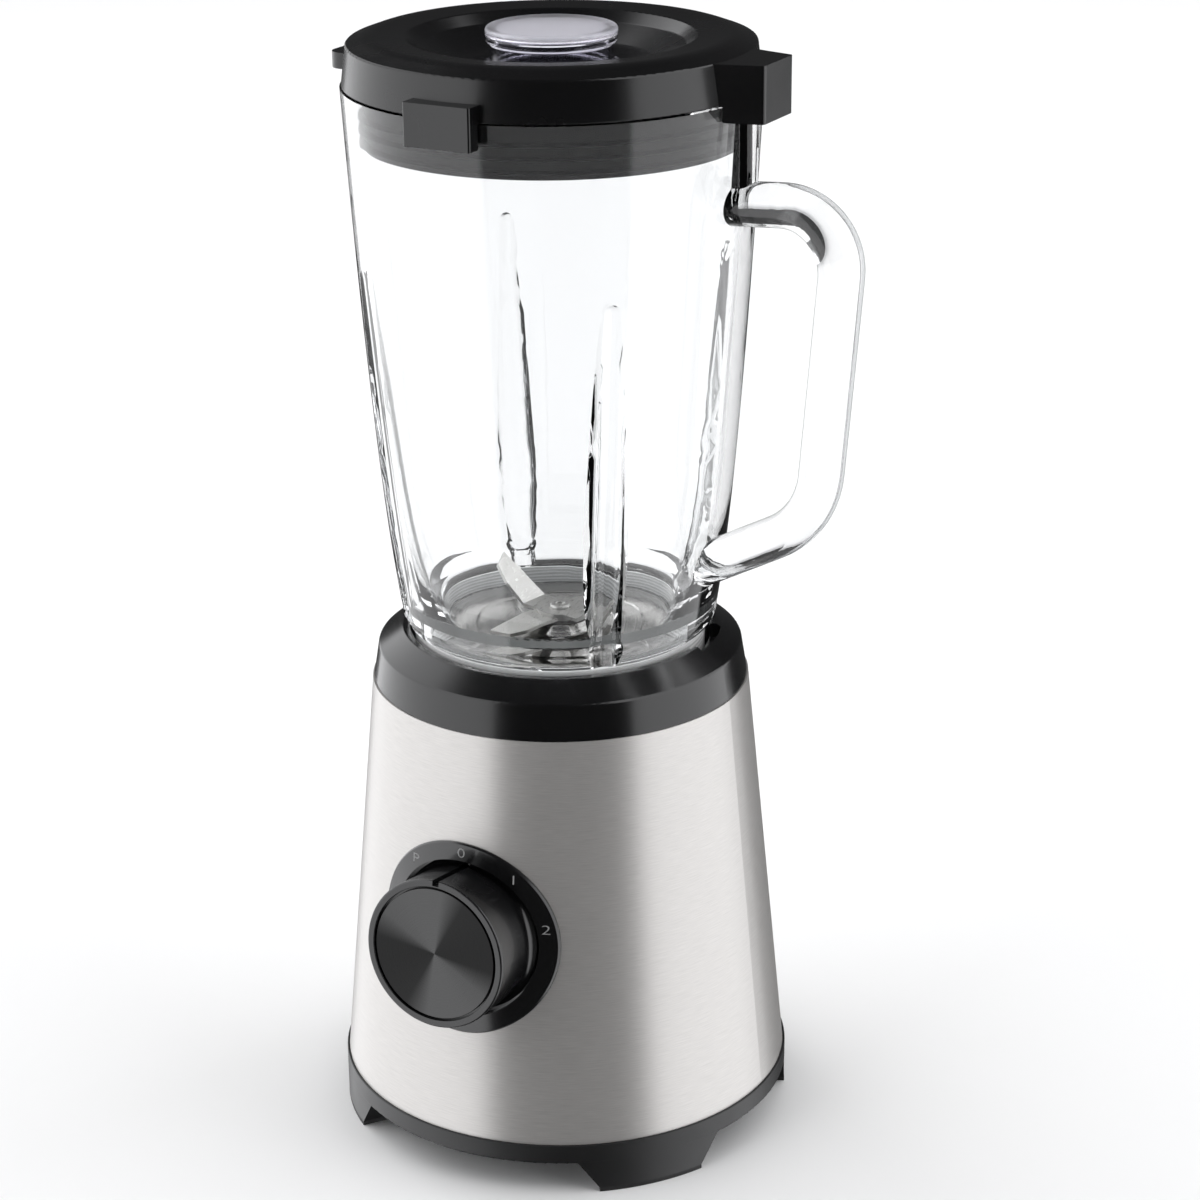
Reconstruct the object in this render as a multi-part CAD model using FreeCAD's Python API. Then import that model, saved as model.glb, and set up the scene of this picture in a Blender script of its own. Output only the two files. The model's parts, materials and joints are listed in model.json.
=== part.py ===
import FreeCAD, Part
import math
import os

# Countertop blender: a motor base, a glass jug with its blade unit, a lid and a measuring cap.
#
# The model is built about the drive axis, with the dial towards -Y and the jug handle towards +X.
# Every sub-part is then moved by the same offset, which puts the origin at the middle of the
# footprint box, on the surface that the feet stand on. Millimetres, +Z up.

Vector = FreeCAD.Vector
Rotation = FreeCAD.Rotation
Placement = FreeCAD.Placement
UP = Vector(0, 0, 1)

# Where the drive axis stands in the exported frame.
AXIS_X = -16.5
AXIS_Y = 6.1

# Motor base: shell, collar, bottom.
SHELL_BOTTOM_R, SHELL_BOTTOM_Z = 83.7, 19.6
SHELL_TOP_R, SHELL_TOP_Z = 69.3, 172.4
SHELL_WALL = 0.7
RING_R, RING_Z = 84.6, 12.2
BOTTOM_PLATE_Z, PLATE_T = 14.0, 3.0
LEG_ANGLES = (50.9, 129.1, 230.9, 309.1)
LEG_INNER_R = 70.0
LEG_HALF_ANGLE_SOLE, LEG_HALF_ANGLE_ROOT = 13.9, 20.6
FOOT_PAD_T = 1.5
COLLAR_LOW_R, COLLAR_EDGE_R, COLLAR_EDGE_Z = 68.8, 66.7, 185.3
COLLAR_LIP_R, COLLAR_LIP_Z = 55.6, 191.8
SEAT_R, SEAT_FLOOR_Z, SEAT_FLOOR_T = 55.0, 175.9, 3.0
WELL_R, WELL_WALL, WELL_FLOOR_Z = 21.0, 2.5, 158.0

# Inner frame and its screws.
POST_R, POST_CIRCLE_R = 5.5, 60.0
POST_ANGLES = (45, 135, 225, 315)
FRAME_TOP_Z, FRAME_BOTTOM_Z, FRAME_RING_T = 169.0, 22.0, 3.0
SEAT_SCREW_CIRCLE_R = 58.0
SEAT_SCREW_ANGLES = (0, 90, 180, 270)
SCREW_R, SCREW_CLEAR_R, SCREW_HEAD_R, SCREW_HEAD_H, BOSS_R = 1.9, 2.3, 3.9, 2.4, 4.8
VENT_COUNT, VENT_WIDTH, VENT_INNER_R, VENT_OUTER_R = 20, 2.8, 14.0, 34.0
KEY_ANGLES, KEY_HALF_ANGLE = (0, 90, 180, 270), 4.0
POCKET_ANGLE, POCKET_HALF_ANGLE = 100, 12

# Motor.
SHAFT_R = 4.0
ROTOR_R, AIR_GAP = 18.0, 0.6
STACK_LOW_Z, STACK_HIGH_Z = 98.0, 128.0
STACK_X, STACK_Y = 78.0, 64.0
WINDOW_X, WINDOW_Y = 62.0, 48.0
POLE_NECK_HALF = 10.0
ROTOR_SLOTS = 12
COMMUTATOR_R, COMMUTATOR_LOW_Z, COMMUTATOR_HIGH_Z = 11.0, 70.0, 86.0
BRUSH_Z = 78.0
BRACKET_T, BRACKET_WALL_T, BRACKET_WIDTH = 4.0, 3.0, 26.0
LOWER_BRACKET_Z, UPPER_BRACKET_Z = 60.0, 148.0
BEARING_R, BEARING_H = 11.0, 7.0
THROUGH_BOLT_Y = 28.0
DAMPER_X, DAMPER_Y = 31.0, 9.0
UPPER_BEARING_Z, LOWER_BEARING_Z = 143.5, 56.0
POLE_TIP_T, POLE_HALF_ANGLE = 3.6, 62.0
SLOT_R, SLOT_CIRCLE_R = 2.1, 14.2
HOLDER_Y, HOLDER_H, HOLDER_IN_X, HOLDER_OUT_X, BRUSH_END_X = 9.0, 11.0, 14.0, 41.0, 30.0
FAN_R, FAN_LOW_Z, FAN_H, FAN_BLADES = 33.0, 42.0, 12.0, 11

# Couplings between the motor and the blade unit.
COUPLING_TEETH = 6
DRIVE_ROOT_R, DRIVE_TIP_R = 8.0, 12.5
DRIVE_LOW_Z, DRIVE_HIGH_Z = 161.0, 173.0
DRIVEN_R, DRIVEN_BORE_R, DRIVEN_TOOTH_R = 17.0, 13.2, 9.0
DRIVEN_LOW_Z, DRIVEN_WEB_Z, DRIVEN_HIGH_Z = 163.0, 173.6, 176.4

# Interlock pin in the seat floor.
PIN_ANGLE, PIN_CIRCLE_R, PIN_R = 225, 40.0, 2.3
PIN_LOW_Z, PIN_FLANGE_Z, PIN_FLANGE_R = 158.0, 164.0, 4.3
PIN_SLEEVE_R, PIN_SLEEVE_LOW_Z = 4.7, 165.0
SENSOR_X, SENSOR_Y, SENSOR_LOW_Z, SENSOR_HIGH_Z = 20.0, 10.4, 146.0, 156.0

# Dial: an apex on the shell's front line, seen along the shell's own normal.
DIAL_Z = 95.9
SWITCH_BUSH_R, SWITCH_SCREW_X = 4.8, 11.0
SWITCH_SCREW_R, SWITCH_HEAD_R, SWITCH_HEAD_DEPTH = 1.4, 2.7, 1.3
DIAL_PLATE_R, DIAL_SKIN_T = 36.2, 1.2
DIAL_RECESS_R, DIAL_RECESS_DEPTH, DIAL_TUB_WALL = 29.5, 7.2, 2.0
KNOB_SKIRT_R, KNOB_WAIST_R, KNOB_RIM_R, KNOB_FACE_H = 28.6, 26.6, 27.7, 18.6
KNOB_DISC_R, KNOB_GROOVE_W, KNOB_CROWN_T = 24.2, 0.8, 4.9
SWITCH_SHAFT_R, RUNNING_FIT = 3.0, 0.05

# Glass jug.
JUG_BOTTOM_R, JUG_BOTTOM_Z, JUG_BRIM_Z = 53.6, 193.0, 390.6
NECK_OUTER_R, NECK_BORE_R, NECK_BOTTOM_Z = 49.6, 46.0, 185.0
JUG_OUTER_SIDE = ((57.6, 200.0), (61.0, 225.0), (65.2, 268.0), (68.9, 318.0), (71.5, 360.0), (73.2, 390.6))
JUG_INNER_SIDE = ((50.5, 205.5), (55.6, 225.0), (60.2, 268.0), (64.0, 318.0), (66.7, 360.0), (68.3, 390.6))
FLUTE_ANGLES = (45, 135, 225, 315)
FLUTE_LOW_R, FLUTE_HIGH_R, FLUTE_WALL = 5.8, 5.4, 4.4
FLUTE_LOW_AXIS, FLUTE_HIGH_AXIS = (57.8, 190.0), (74.0, 326.0)
FLUTE_FOOT_AT, FLUTE_FOOT_R = (60.0, 200.5), 7.0
SPOUT_REACH, SPOUT_R, SPOUT_LOW_Z, SPOUT_WALL = 80.5, 12.0, 350.0, 4.2
WEB_REACH, WEB_HALF, WEB_HIGH_Z = 77.5, 5.5, 388.0
HANDLE_HALF_DEPTH, HANDLE_HALF_WIDTH = 7.6, 9.8
HANDLE_ROUTE = ((62.0, 354.6, 0), (112.0, 358.2, 21.0), (102.4, 246.2, 32.0), (58.0, 222.4, 0))

# Blade unit.
HOLDER_R, HOLDER_LOW_Z, HOLDER_HIGH_Z = 53.2, 176.2, 192.4
FLANGE_Z, FLANGE_T = 181.0, 2.2
BUSH_R, BOSS_LOW_Z, BOSS_HIGH_Z = 5.0, 178.0, 189.4
SPINDLE_R = 3.0
BLADE_HUB_R, BLADE_ROOT_HALF, BEND_R = 9.0, 6.2, 13.0
LOWER_BLADE_Z, BLADE_T = 190.6, 1.5
LOWER_BLADE_ANGLE, LOWER_BEND_DEG, LOWER_WING = -21.0, -8.0, 17.0
UPPER_BLADE_ANGLE, UPPER_BEND_DEG, UPPER_WING = -100.7, 40.0, 25.0

# Lid and cap.
LID_SKIRT_R, LID_SKIRT_Z = 72.7, 390.9
LID_CREASE_R, LID_CREASE_Z = 70.9, 405.1
LID_CROWN_Z, LID_BOWL_R, LID_BOWL_Z = 408.0, 49.3, 406.4
LID_WALL, BOWL_FLOOR_Z = 2.4, 395.6
PLUG_R, PLUG_LOW_Z, FIN_R = 63.5, 373.0, 67.0
NECK_TUBE_LOW_Z = 384.0
LIP_REACH, LIP_HALF, LIP_HIGH_Z = 83.2, 14.5, 396.6
TAB_HALF, TAB_REACH, TAB_LOW_Z, TAB_HIGH_Z = 12.65, 78.0, 382.4, 397.0
BLOCK_REACH, BLOCK_LOW_Z = 86.0, 385.6
CAP_HOLE_R, CAP_RIM_R, CAP_NECK_R, CAP_TOP_Z, CAP_LOW_Z = 22.0, 22.9, 21.4, 410.0, 380.0
CAP_SEAT_Z = BOWL_FLOOR_Z + 0.5


def polar(radius, angle_deg, z=0.0):
    """A point at a radius and an angle from the front (-Y), turning towards the handle (+X)."""
    a = math.radians(angle_deg)
    return Vector(radius * math.sin(a), -radius * math.cos(a), z)


def turned(shape, angle_deg, centre=Vector(0, 0, 0), axis=UP):
    copy = shape.copy()
    copy.rotate(centre, axis, angle_deg)
    return copy


def all_round(shape, angles):
    """Copies of a shape made at the front, one at each angle from the front."""
    return [turned(shape, a) for a in angles]


def cylinder(radius, low, high, at=Vector(0, 0, 0)):
    return Part.makeCylinder(radius, high - low, Vector(at.x, at.y, low), UP)


def tube(outer, inner, low, high, at=Vector(0, 0, 0)):
    return cylinder(outer, low, high, at).cut(cylinder(inner, low, high, at))


def block(x_range, y_range, z_range):
    size = [r[1] - r[0] for r in (x_range, y_range, z_range)]
    return Part.makeBox(*size, Vector(x_range[0], y_range[0], z_range[0]))


def edge_chain(corners, closed):
    """Straight runs joined by tangent arcs; a corner is (x, z, arc radius), in the XZ plane."""
    points = [Vector(c[0], 0, c[1]) for c in corners]
    count = len(points)
    entries, exits, middles = [], [], []
    for i, corner in enumerate(points):
        radius = corners[i][2] if len(corners[i]) > 2 else 0
        is_end = not closed and i in (0, count - 1)
        if not radius or is_end:
            entries.append(corner)
            exits.append(corner)
            middles.append(None)
            continue
        back = (points[i - 1] - corner).normalize()
        ahead = (points[(i + 1) % count] - corner).normalize()
        half = back.getAngle(ahead) / 2
        bisector = (back + ahead).normalize()
        entries.append(corner + back * (radius / math.tan(half)))
        exits.append(corner + ahead * (radius / math.tan(half)))
        middles.append(corner + bisector * (radius / math.sin(half) - radius))
    edges = []
    for i in range(count):
        if middles[i]:
            edges.append(Part.Arc(entries[i], middles[i], exits[i]).toShape())
        following = (i + 1) % count
        if following == 0 and not closed:
            break
        if exits[i].distanceToPoint(entries[following]) > 1e-6:
            edges.append(Part.LineSegment(exits[i], entries[following]).toShape())
    return edges


def lathe(*corners):
    """A solid turned about Z from a closed outline of (radius, z, arc radius) corners."""
    wire = Part.Wire(edge_chain(corners, closed=True))
    return Part.Face(wire).revolve(Vector(0, 0, 0), UP, 360)


def sector(inner, outer, low, high, half_angle):
    """A block of a ring, centred on the front, with straight radial sides."""
    profile = ((inner, low), (outer, low), (outer, high), (inner, high))
    wire = Part.Wire(edge_chain(profile, closed=True))
    solid = Part.Face(wire).revolve(Vector(0, 0, 0), UP, 2 * half_angle)
    return turned(solid, -90 - half_angle)


def sector_wire(inner, outer, z, half_angle):
    """The outline of a ring's sector at one height, centred on the front."""
    p, q = polar(outer, -half_angle, z), polar(outer, half_angle, z)
    r, s = polar(inner, half_angle, z), polar(inner, -half_angle, z)
    outer_arc = Part.Arc(p, polar(outer, 0, z), q).toShape()
    inner_arc = Part.Arc(r, polar(inner, 0, z), s).toShape()
    sides = [Part.LineSegment(q, r).toShape(), Part.LineSegment(s, p).toShape()]
    return Part.Wire([outer_arc, sides[0], inner_arc, sides[1]])


def rounded_box(x_range, y_range, z_range, radius):
    """A block with its four upright edges rounded."""
    solid = block(x_range, y_range, z_range)
    upright = [e for e in solid.Edges if abs(e.tangentAt(e.FirstParameter).z) > 0.9]
    return solid.makeFillet(radius, upright)


def screw(at, low, high, shank_r, head_r, head_h):
    """A screw that points up: its pan head is below low, its shank runs from low to high."""
    head = cylinder(head_r, low - head_h, low, at)
    face = low - head_h
    slot = block((at.x - 0.5, at.x + 0.5), (at.y - head_r, at.y + head_r), (face, face + 0.8))
    return head.cut(slot).fuse(cylinder(shank_r, low, high, at)).removeSplitter()


def coil_spring(radius, wire_r, low, high, turns, at=Vector(0, 0, 0)):
    """A helical spring of round wire about Z, from low to high, swept along one helix for each turn."""
    pitch = (high - low - 2 * wire_r) / turns
    edges = []
    for i in range(turns):
        helix = Part.makeHelix(pitch, pitch, radius)
        helix.translate(Vector(0, 0, i * pitch))
        edges += helix.Edges
    along = Vector(0, 2 * math.pi * radius, pitch)
    section = Part.Wire(Part.makeCircle(wire_r, Vector(radius, 0, 0), along))
    solid = Part.Wire(edges).makePipeShell([section], True, True)
    solid.translate(Vector(at.x, at.y, low + wire_r))
    return solid


# ---------------------------------------------------------------- motor base, outside

def shell_radius(z):
    slope = (SHELL_TOP_R - SHELL_BOTTOM_R) / (SHELL_TOP_Z - SHELL_BOTTOM_Z)
    return SHELL_BOTTOM_R + (z - SHELL_BOTTOM_Z) * slope


def shell_cone(offset):
    """The full cone of the shell's outer surface, grown outwards by offset."""
    low, high = SHELL_BOTTOM_Z, SHELL_TOP_Z
    return Part.makeCone(SHELL_BOTTOM_R + offset, SHELL_TOP_R + offset, high - low, Vector(0, 0, low), UP)


SHELL_SLOPE_DEG = math.degrees(math.atan((SHELL_BOTTOM_R - SHELL_TOP_R) / (SHELL_TOP_Z - SHELL_BOTTOM_Z)))
DIAL_CENTRE = Vector(0, -shell_radius(DIAL_Z), DIAL_Z)
DIAL_PLACEMENT = Placement(DIAL_CENTRE, Rotation(Vector(1, 0, 0), 90 - SHELL_SLOPE_DEG))
GLAND_Z, GLAND_HOLE_R, GLAND_BORE_R = 33.0, 6.5, 3.7


def on_dial(shape):
    """Moves a shape from the dial's own frame, +Z outwards and +Y up the shell, to the base."""
    copy = shape.copy()
    copy.Placement = DIAL_PLACEMENT.multiply(copy.Placement)
    return copy


def steel_shell():
    sleeve = shell_cone(0).cut(shell_cone(-SHELL_WALL))
    dial_hole = on_dial(cylinder(DIAL_RECESS_R + DIAL_TUB_WALL + 0.3, -30, 20))
    behind = Vector(0, SHELL_BOTTOM_R - 20, GLAND_Z)
    gland_hole = Part.makeCylinder(GLAND_HOLE_R, 30, behind, Vector(0, 1, 0))
    return sleeve.cut([dial_hole, gland_hole])


def top_collar():
    """The black cap of the base: outer rim, jug seat and the well round the coupling."""
    floor_low = SEAT_FLOOR_Z - SEAT_FLOOR_T
    well_low = WELL_FLOOR_Z - SEAT_FLOOR_T
    body = lathe(
        (COLLAR_LOW_R, SHELL_TOP_Z),
        (COLLAR_EDGE_R, COLLAR_EDGE_Z, 1.2),
        (COLLAR_LIP_R + 2.0, COLLAR_LIP_Z, 1.0),
        (SEAT_R, COLLAR_LIP_Z, 0.8),
        (SEAT_R, SEAT_FLOOR_Z, 1.5),
        (WELL_R, SEAT_FLOOR_Z, 1.0),
        (WELL_R, WELL_FLOOR_Z, 1.5),
        (SHAFT_R + 1.5, WELL_FLOOR_Z),
        (SHAFT_R + 1.5, well_low),
        (WELL_R + WELL_WALL, well_low),
        (WELL_R + WELL_WALL, floor_low),
        (SEAT_R + 2.5, floor_low),
        (SEAT_R + 2.5, COLLAR_EDGE_Z - 1.0),
        (COLLAR_EDGE_R - 3.0, COLLAR_EDGE_Z - 2.5),
        (COLLAR_LOW_R - 3.0, SHELL_TOP_Z),
        (COLLAR_LOW_R - 3.0, FRAME_TOP_Z),
        (COLLAR_LOW_R - 1.0, FRAME_TOP_Z),
        (COLLAR_LOW_R - 1.0, SHELL_TOP_Z),
    )
    bosses, holes = [], []
    for angle in SEAT_SCREW_ANGLES:
        at = polar(SEAT_SCREW_CIRCLE_R, angle)
        bosses.append(cylinder(BOSS_R, FRAME_TOP_Z, floor_low, at))
        holes.append(cylinder(SCREW_R, FRAME_TOP_Z, SEAT_FLOOR_Z - 1.0, at))
    for at in damper_points():
        bosses.append(cylinder(BOSS_R, well_low, floor_low, at))
        holes.append(cylinder(SCREW_R, well_low, floor_low - 4.0, at))
    pin_at = polar(PIN_CIRCLE_R, PIN_ANGLE)
    bosses.append(tube(PIN_SLEEVE_R + 1.4, PIN_SLEEVE_R, PIN_SLEEVE_LOW_Z, floor_low, pin_at))
    holes.append(cylinder(PIN_R + 0.3, floor_low - 1.0, SEAT_FLOOR_Z + 1.0, pin_at))
    for side in (-1, 1):
        near, far = sorted((side * SENSOR_Y / 2, side * (SENSOR_Y / 2 + 1.6)))
        clip = block((-SENSOR_X / 2, SENSOR_X / 2), (near, far), (SENSOR_LOW_Z, floor_low))
        clip = turned(clip, PIN_ANGLE)
        clip.translate(pin_at)
        bosses.append(clip)
    key_slot = sector(SEAT_R - 2.0, SEAT_R + 1.6, SEAT_FLOOR_Z, COLLAR_LIP_Z + 1.0, KEY_HALF_ANGLE + 0.8)
    pocket = sector(SEAT_R - 1.0, SEAT_R + 4.2, COLLAR_LIP_Z - 5.0, COLLAR_LIP_Z + 1.0, POCKET_HALF_ANGLE)
    pocket = turned(pocket, POCKET_ANGLE)
    return body.fuse(bosses).cut(holes + all_round(key_slot, KEY_ANGLES) + [pocket]).removeSplitter()


def inner_frame():
    """The chassis between the collar and the bottom: two rings tied by four screw posts."""
    top_ring = tube(COLLAR_LOW_R - 3.2, SEAT_SCREW_CIRCLE_R - 7.0, FRAME_TOP_Z - FRAME_RING_T, FRAME_TOP_Z)
    bottom_ring_top = FRAME_BOTTOM_Z + FRAME_RING_T
    bottom_ring = tube(POST_CIRCLE_R + 8.0, POST_CIRCLE_R - 8.0, FRAME_BOTTOM_Z, bottom_ring_top)
    parts = [bottom_ring]
    holes = []
    for angle in POST_ANGLES:
        at = polar(POST_CIRCLE_R, angle)
        parts.append(cylinder(POST_R, FRAME_BOTTOM_Z, FRAME_TOP_Z, at))
        holes.append(cylinder(SCREW_R, FRAME_BOTTOM_Z, FRAME_BOTTOM_Z + 16.0, at))
    for angle in SEAT_SCREW_ANGLES:
        at = polar(SEAT_SCREW_CIRCLE_R, angle)
        holes.append(cylinder(SCREW_CLEAR_R, FRAME_TOP_Z - 5.0, FRAME_TOP_Z + 1.0, at))
    return top_ring.fuse(parts).cut(holes).removeSplitter()


def bottom_cover():
    """The black base tray with its visible rim, four legs, fan slots and screw bosses."""
    lip_r = shell_radius(SHELL_BOTTOM_Z) - SHELL_WALL - 0.6
    body = lathe(
        (0, BOTTOM_PLATE_Z),
        (RING_R - 5.0, BOTTOM_PLATE_Z),
        (RING_R - 4.0, RING_Z),
        (RING_R, RING_Z, 0.6),
        (RING_R, SHELL_BOTTOM_Z, 0.4),
        (lip_r, SHELL_BOTTOM_Z),
        (lip_r - 0.6, SHELL_BOTTOM_Z + 6.0),
        (lip_r - 2.6, SHELL_BOTTOM_Z + 6.0),
        (lip_r - 2.6, BOTTOM_PLATE_Z + PLATE_T),
        (0, BOTTOM_PLATE_Z + PLATE_T),
    )
    sole = sector_wire(LEG_INNER_R, RING_R, FOOT_PAD_T, LEG_HALF_ANGLE_SOLE)
    root = sector_wire(LEG_INNER_R, RING_R, BOTTOM_PLATE_Z + 1.0, LEG_HALF_ANGLE_ROOT)
    leg = Part.makeLoft([sole, root], True, True)
    bosses, holes = [], []
    for angle in POST_ANGLES:
        at = polar(POST_CIRCLE_R, angle)
        bosses.append(cylinder(POST_R, BOTTOM_PLATE_Z, FRAME_BOTTOM_Z, at))
        holes.append(cylinder(SCREW_CLEAR_R, 0, FRAME_BOTTOM_Z + 1.0, at))
        holes.append(cylinder(SCREW_HEAD_R + 0.4, 0, BOTTOM_PLATE_Z + PLATE_T, at))
    slot_step = 360 / VENT_COUNT
    vent = block((-VENT_WIDTH / 2, VENT_WIDTH / 2), (-VENT_OUTER_R, -VENT_INNER_R), (0, 30))
    vents = all_round(vent, [i * slot_step for i in range(VENT_COUNT)])
    return body.fuse(all_round(leg, LEG_ANGLES) + bosses).cut(holes + vents).removeSplitter()


def rubber_feet():
    pad = sector(LEG_INNER_R, RING_R, 0, FOOT_PAD_T, LEG_HALF_ANGLE_SOLE)
    return Part.makeCompound(all_round(pad, LEG_ANGLES))


def plain_screw(at, low, high):
    return screw(at, low, high, SCREW_R, SCREW_HEAD_R, SCREW_HEAD_H)


def frame_screws(circle_r, angles, low, length):
    """Screws that point up, evenly placed on a circle."""
    return Part.makeCompound([plain_screw(polar(circle_r, a), low, low + length) for a in angles])


def bottom_screws():
    return frame_screws(POST_CIRCLE_R, POST_ANGLES, BOTTOM_PLATE_Z + PLATE_T, 20.0)


def seat_screws():
    return frame_screws(SEAT_SCREW_CIRCLE_R, SEAT_SCREW_ANGLES, FRAME_TOP_Z - FRAME_RING_T, 7.5)


def cord_gland():
    """The rubber bush in the back of the shell that the mains lead goes in through."""
    back = Vector(0, 1, 0)
    centre = Vector(0, shell_radius(GLAND_Z), GLAND_Z)
    flange = Part.makeCylinder(GLAND_HOLE_R + 2.5, 4.0, centre - back * 1.0, back).cut(shell_cone(0))
    bush = Part.makeCylinder(GLAND_HOLE_R - 0.1, 16.0, centre - back * 14.0, back)
    bore = Part.makeCylinder(GLAND_BORE_R, 40.0, centre - back * 30.0, back)
    return bush.fuse(flange).cut(bore).removeSplitter()


# ---------------------------------------------------------------- dial and switch

def dial_plate():
    """A curved black escutcheon that lies on the shell, with a round tub sunk behind the knob."""
    disc = on_dial(cylinder(DIAL_PLATE_R, -12, 6))
    skin = disc.common(shell_cone(DIAL_SKIN_T)).cut(shell_cone(0))
    rim = [e for e in skin.Edges if e.Length > 4 * DIAL_PLATE_R]
    outermost = max(rim, key=lambda e: -e.BoundBox.YMin)
    skin = skin.makeChamfer(0.5, [outermost])
    tub = on_dial(cylinder(DIAL_RECESS_R + DIAL_TUB_WALL, -DIAL_RECESS_DEPTH - DIAL_TUB_WALL, 6))
    tub = tub.common(shell_cone(DIAL_SKIN_T / 2))
    recess = on_dial(cylinder(DIAL_RECESS_R, -DIAL_RECESS_DEPTH, 12))
    bush_hole = on_dial(cylinder(SWITCH_BUSH_R + 0.2, -20, 0))
    screw_holes = [on_dial(switch_screw_shape(x, -20, 0.1)) for x in (-SWITCH_SCREW_X, SWITCH_SCREW_X)]
    return skin.fuse(tub).cut([recess, bush_hole] + screw_holes).removeSplitter()


def knob_body():
    """The knob's skirt, waist and rim, hollow behind, with a hub for the switch shaft."""
    foot = -DIAL_RECESS_DEPTH + 0.6
    hollow_top = KNOB_FACE_H - KNOB_CROWN_T
    shell = lathe(
        (0, hollow_top),
        (KNOB_WAIST_R - 3.0, hollow_top, 2.0),
        (KNOB_SKIRT_R - 2.6, foot),
        (KNOB_SKIRT_R, foot),
        (KNOB_SKIRT_R, foot + 1.6, 0.6),
        (KNOB_WAIST_R, foot + 3.6, 3.0),
        (KNOB_RIM_R, KNOB_FACE_H, 0.7),
        (KNOB_DISC_R + KNOB_GROOVE_W, KNOB_FACE_H, 0.3),
        (KNOB_DISC_R + KNOB_GROOVE_W, KNOB_FACE_H - 2.0),
        (0, KNOB_FACE_H - 2.0),
    )
    hub = tube(6.0, SWITCH_SHAFT_R, foot, hollow_top)
    pointer = block((-1.3, 1.3), (KNOB_WAIST_R - 1.0, KNOB_SKIRT_R + 2.0), (foot + 1.6, KNOB_FACE_H + 1.0))
    return on_dial(shell.fuse(hub).cut(pointer).removeSplitter())


def knob_disc():
    """The turned metal disc let into the knob's face."""
    disc = lathe(
        (0, KNOB_FACE_H - 2.0),
        (KNOB_DISC_R, KNOB_FACE_H - 2.0),
        (KNOB_DISC_R, KNOB_FACE_H - 0.3, 0.3),
        (0, KNOB_FACE_H - 0.3),
    )
    return on_dial(disc)


def switch_shaft():
    """The switch's shaft, from inside its case to just short of the knob's crown."""
    back = -28.0
    front = KNOB_FACE_H - KNOB_CROWN_T - 0.6
    return on_dial(cylinder(SWITCH_SHAFT_R, back, front))


def switch_body():
    """The rotary switch behind the dial, with its bush and four spade terminals."""
    back, front = -30.0, -DIAL_RECESS_DEPTH - 2.2
    case = rounded_box((-15, 15), (-15, 15), (back, front), 2.0)
    bush = cylinder(SWITCH_BUSH_R, front, -DIAL_RECESS_DEPTH + 0.2)
    terminals = []
    for x in (-9, 9):
        for y in (-7, 7):
            terminals.append(block((x - 3.1, x + 3.1), (y - 0.4, y + 0.4), (back - 8, back)))
    holes = [cylinder(SWITCH_SHAFT_R + RUNNING_FIT, back + 1.9, 0)]
    for x in (-SWITCH_SCREW_X, SWITCH_SCREW_X):
        holes.append(cylinder(SWITCH_SCREW_R, front - 6.0, front + 1.0, Vector(x, 0, 0)))
    return on_dial(case.fuse([bush] + terminals).cut(holes).removeSplitter())


def switch_screw_shape(x, low, extra_r=0.0):
    """A countersunk screw in the dial's own frame, flush with the tub's floor, or the hole for it."""
    floor = -DIAL_RECESS_DEPTH
    shank = cylinder(SWITCH_SCREW_R + extra_r, low, floor - SWITCH_HEAD_DEPTH / 2, Vector(x, 0, 0))
    under_head = Vector(x, 0, floor - SWITCH_HEAD_DEPTH)
    narrow, wide = SWITCH_SCREW_R + extra_r, SWITCH_HEAD_R + extra_r
    head = Part.makeCone(narrow, wide, SWITCH_HEAD_DEPTH, under_head, UP)
    return shank.fuse(head).removeSplitter()


def switch_screws():
    """Two countersunk screws that hold the switch to the floor of the dial's tub."""
    low = -DIAL_RECESS_DEPTH - 7.5
    places = (-SWITCH_SCREW_X, SWITCH_SCREW_X)
    return Part.makeCompound([on_dial(switch_screw_shape(x, low)) for x in places])


# ---------------------------------------------------------------- motor

def damper_points():
    return [Vector(x, y, 0) for x in (-DAMPER_X, DAMPER_X) for y in (-DAMPER_Y, DAMPER_Y)]


def through_bolt_points():
    return [Vector(0, y, 0) for y in (-THROUGH_BOLT_Y, THROUGH_BOLT_Y)]


def field_stack():
    """The stator's laminated stack: a square yoke with two poles round the rotor."""
    height = (STACK_LOW_Z, STACK_HIGH_Z)
    window_x = (-WINDOW_X / 2, WINDOW_X / 2)
    yoke = rounded_box((-STACK_X / 2, STACK_X / 2), (-STACK_Y / 2, STACK_Y / 2), height, 9.0)
    window = block(window_x, (-WINDOW_Y / 2, WINDOW_Y / 2), height)
    neck = block(window_x, (-POLE_NECK_HALF, POLE_NECK_HALF), height)
    bore_r = ROTOR_R + AIR_GAP
    tip = sector(bore_r, bore_r + POLE_TIP_T, STACK_LOW_Z, STACK_HIGH_Z, POLE_HALF_ANGLE)
    bore = cylinder(bore_r, STACK_LOW_Z, STACK_HIGH_Z)
    bolt_holes = [cylinder(2.0, STACK_LOW_Z, STACK_HIGH_Z, at) for at in through_bolt_points()]
    stack = yoke.cut(window).fuse([neck] + all_round(tip, (90, 270)))
    return stack.cut([bore] + bolt_holes).removeSplitter()


def field_coils():
    """Two windings, one round each pole neck, with end turns above and below the stack."""
    inner_x = ROTOR_R + AIR_GAP + POLE_TIP_T + 0.4
    outer_x = WINDOW_X / 2 - 1.0
    outside = rounded_box((-20, 20), (STACK_LOW_Z - 10, STACK_HIGH_Z + 10), (inner_x, outer_x), 6.0)
    neck_half = POLE_NECK_HALF + 0.4
    inside = block((-neck_half, neck_half), (STACK_LOW_Z - 0.5, STACK_HIGH_Z + 0.5), (0, 50))
    coil = outside.cut(inside)
    coil.rotate(Vector(0, 0, 0), Vector(1, 0, 0), 90)
    return Part.makeCompound(all_round(coil, (90, 270)))


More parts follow.
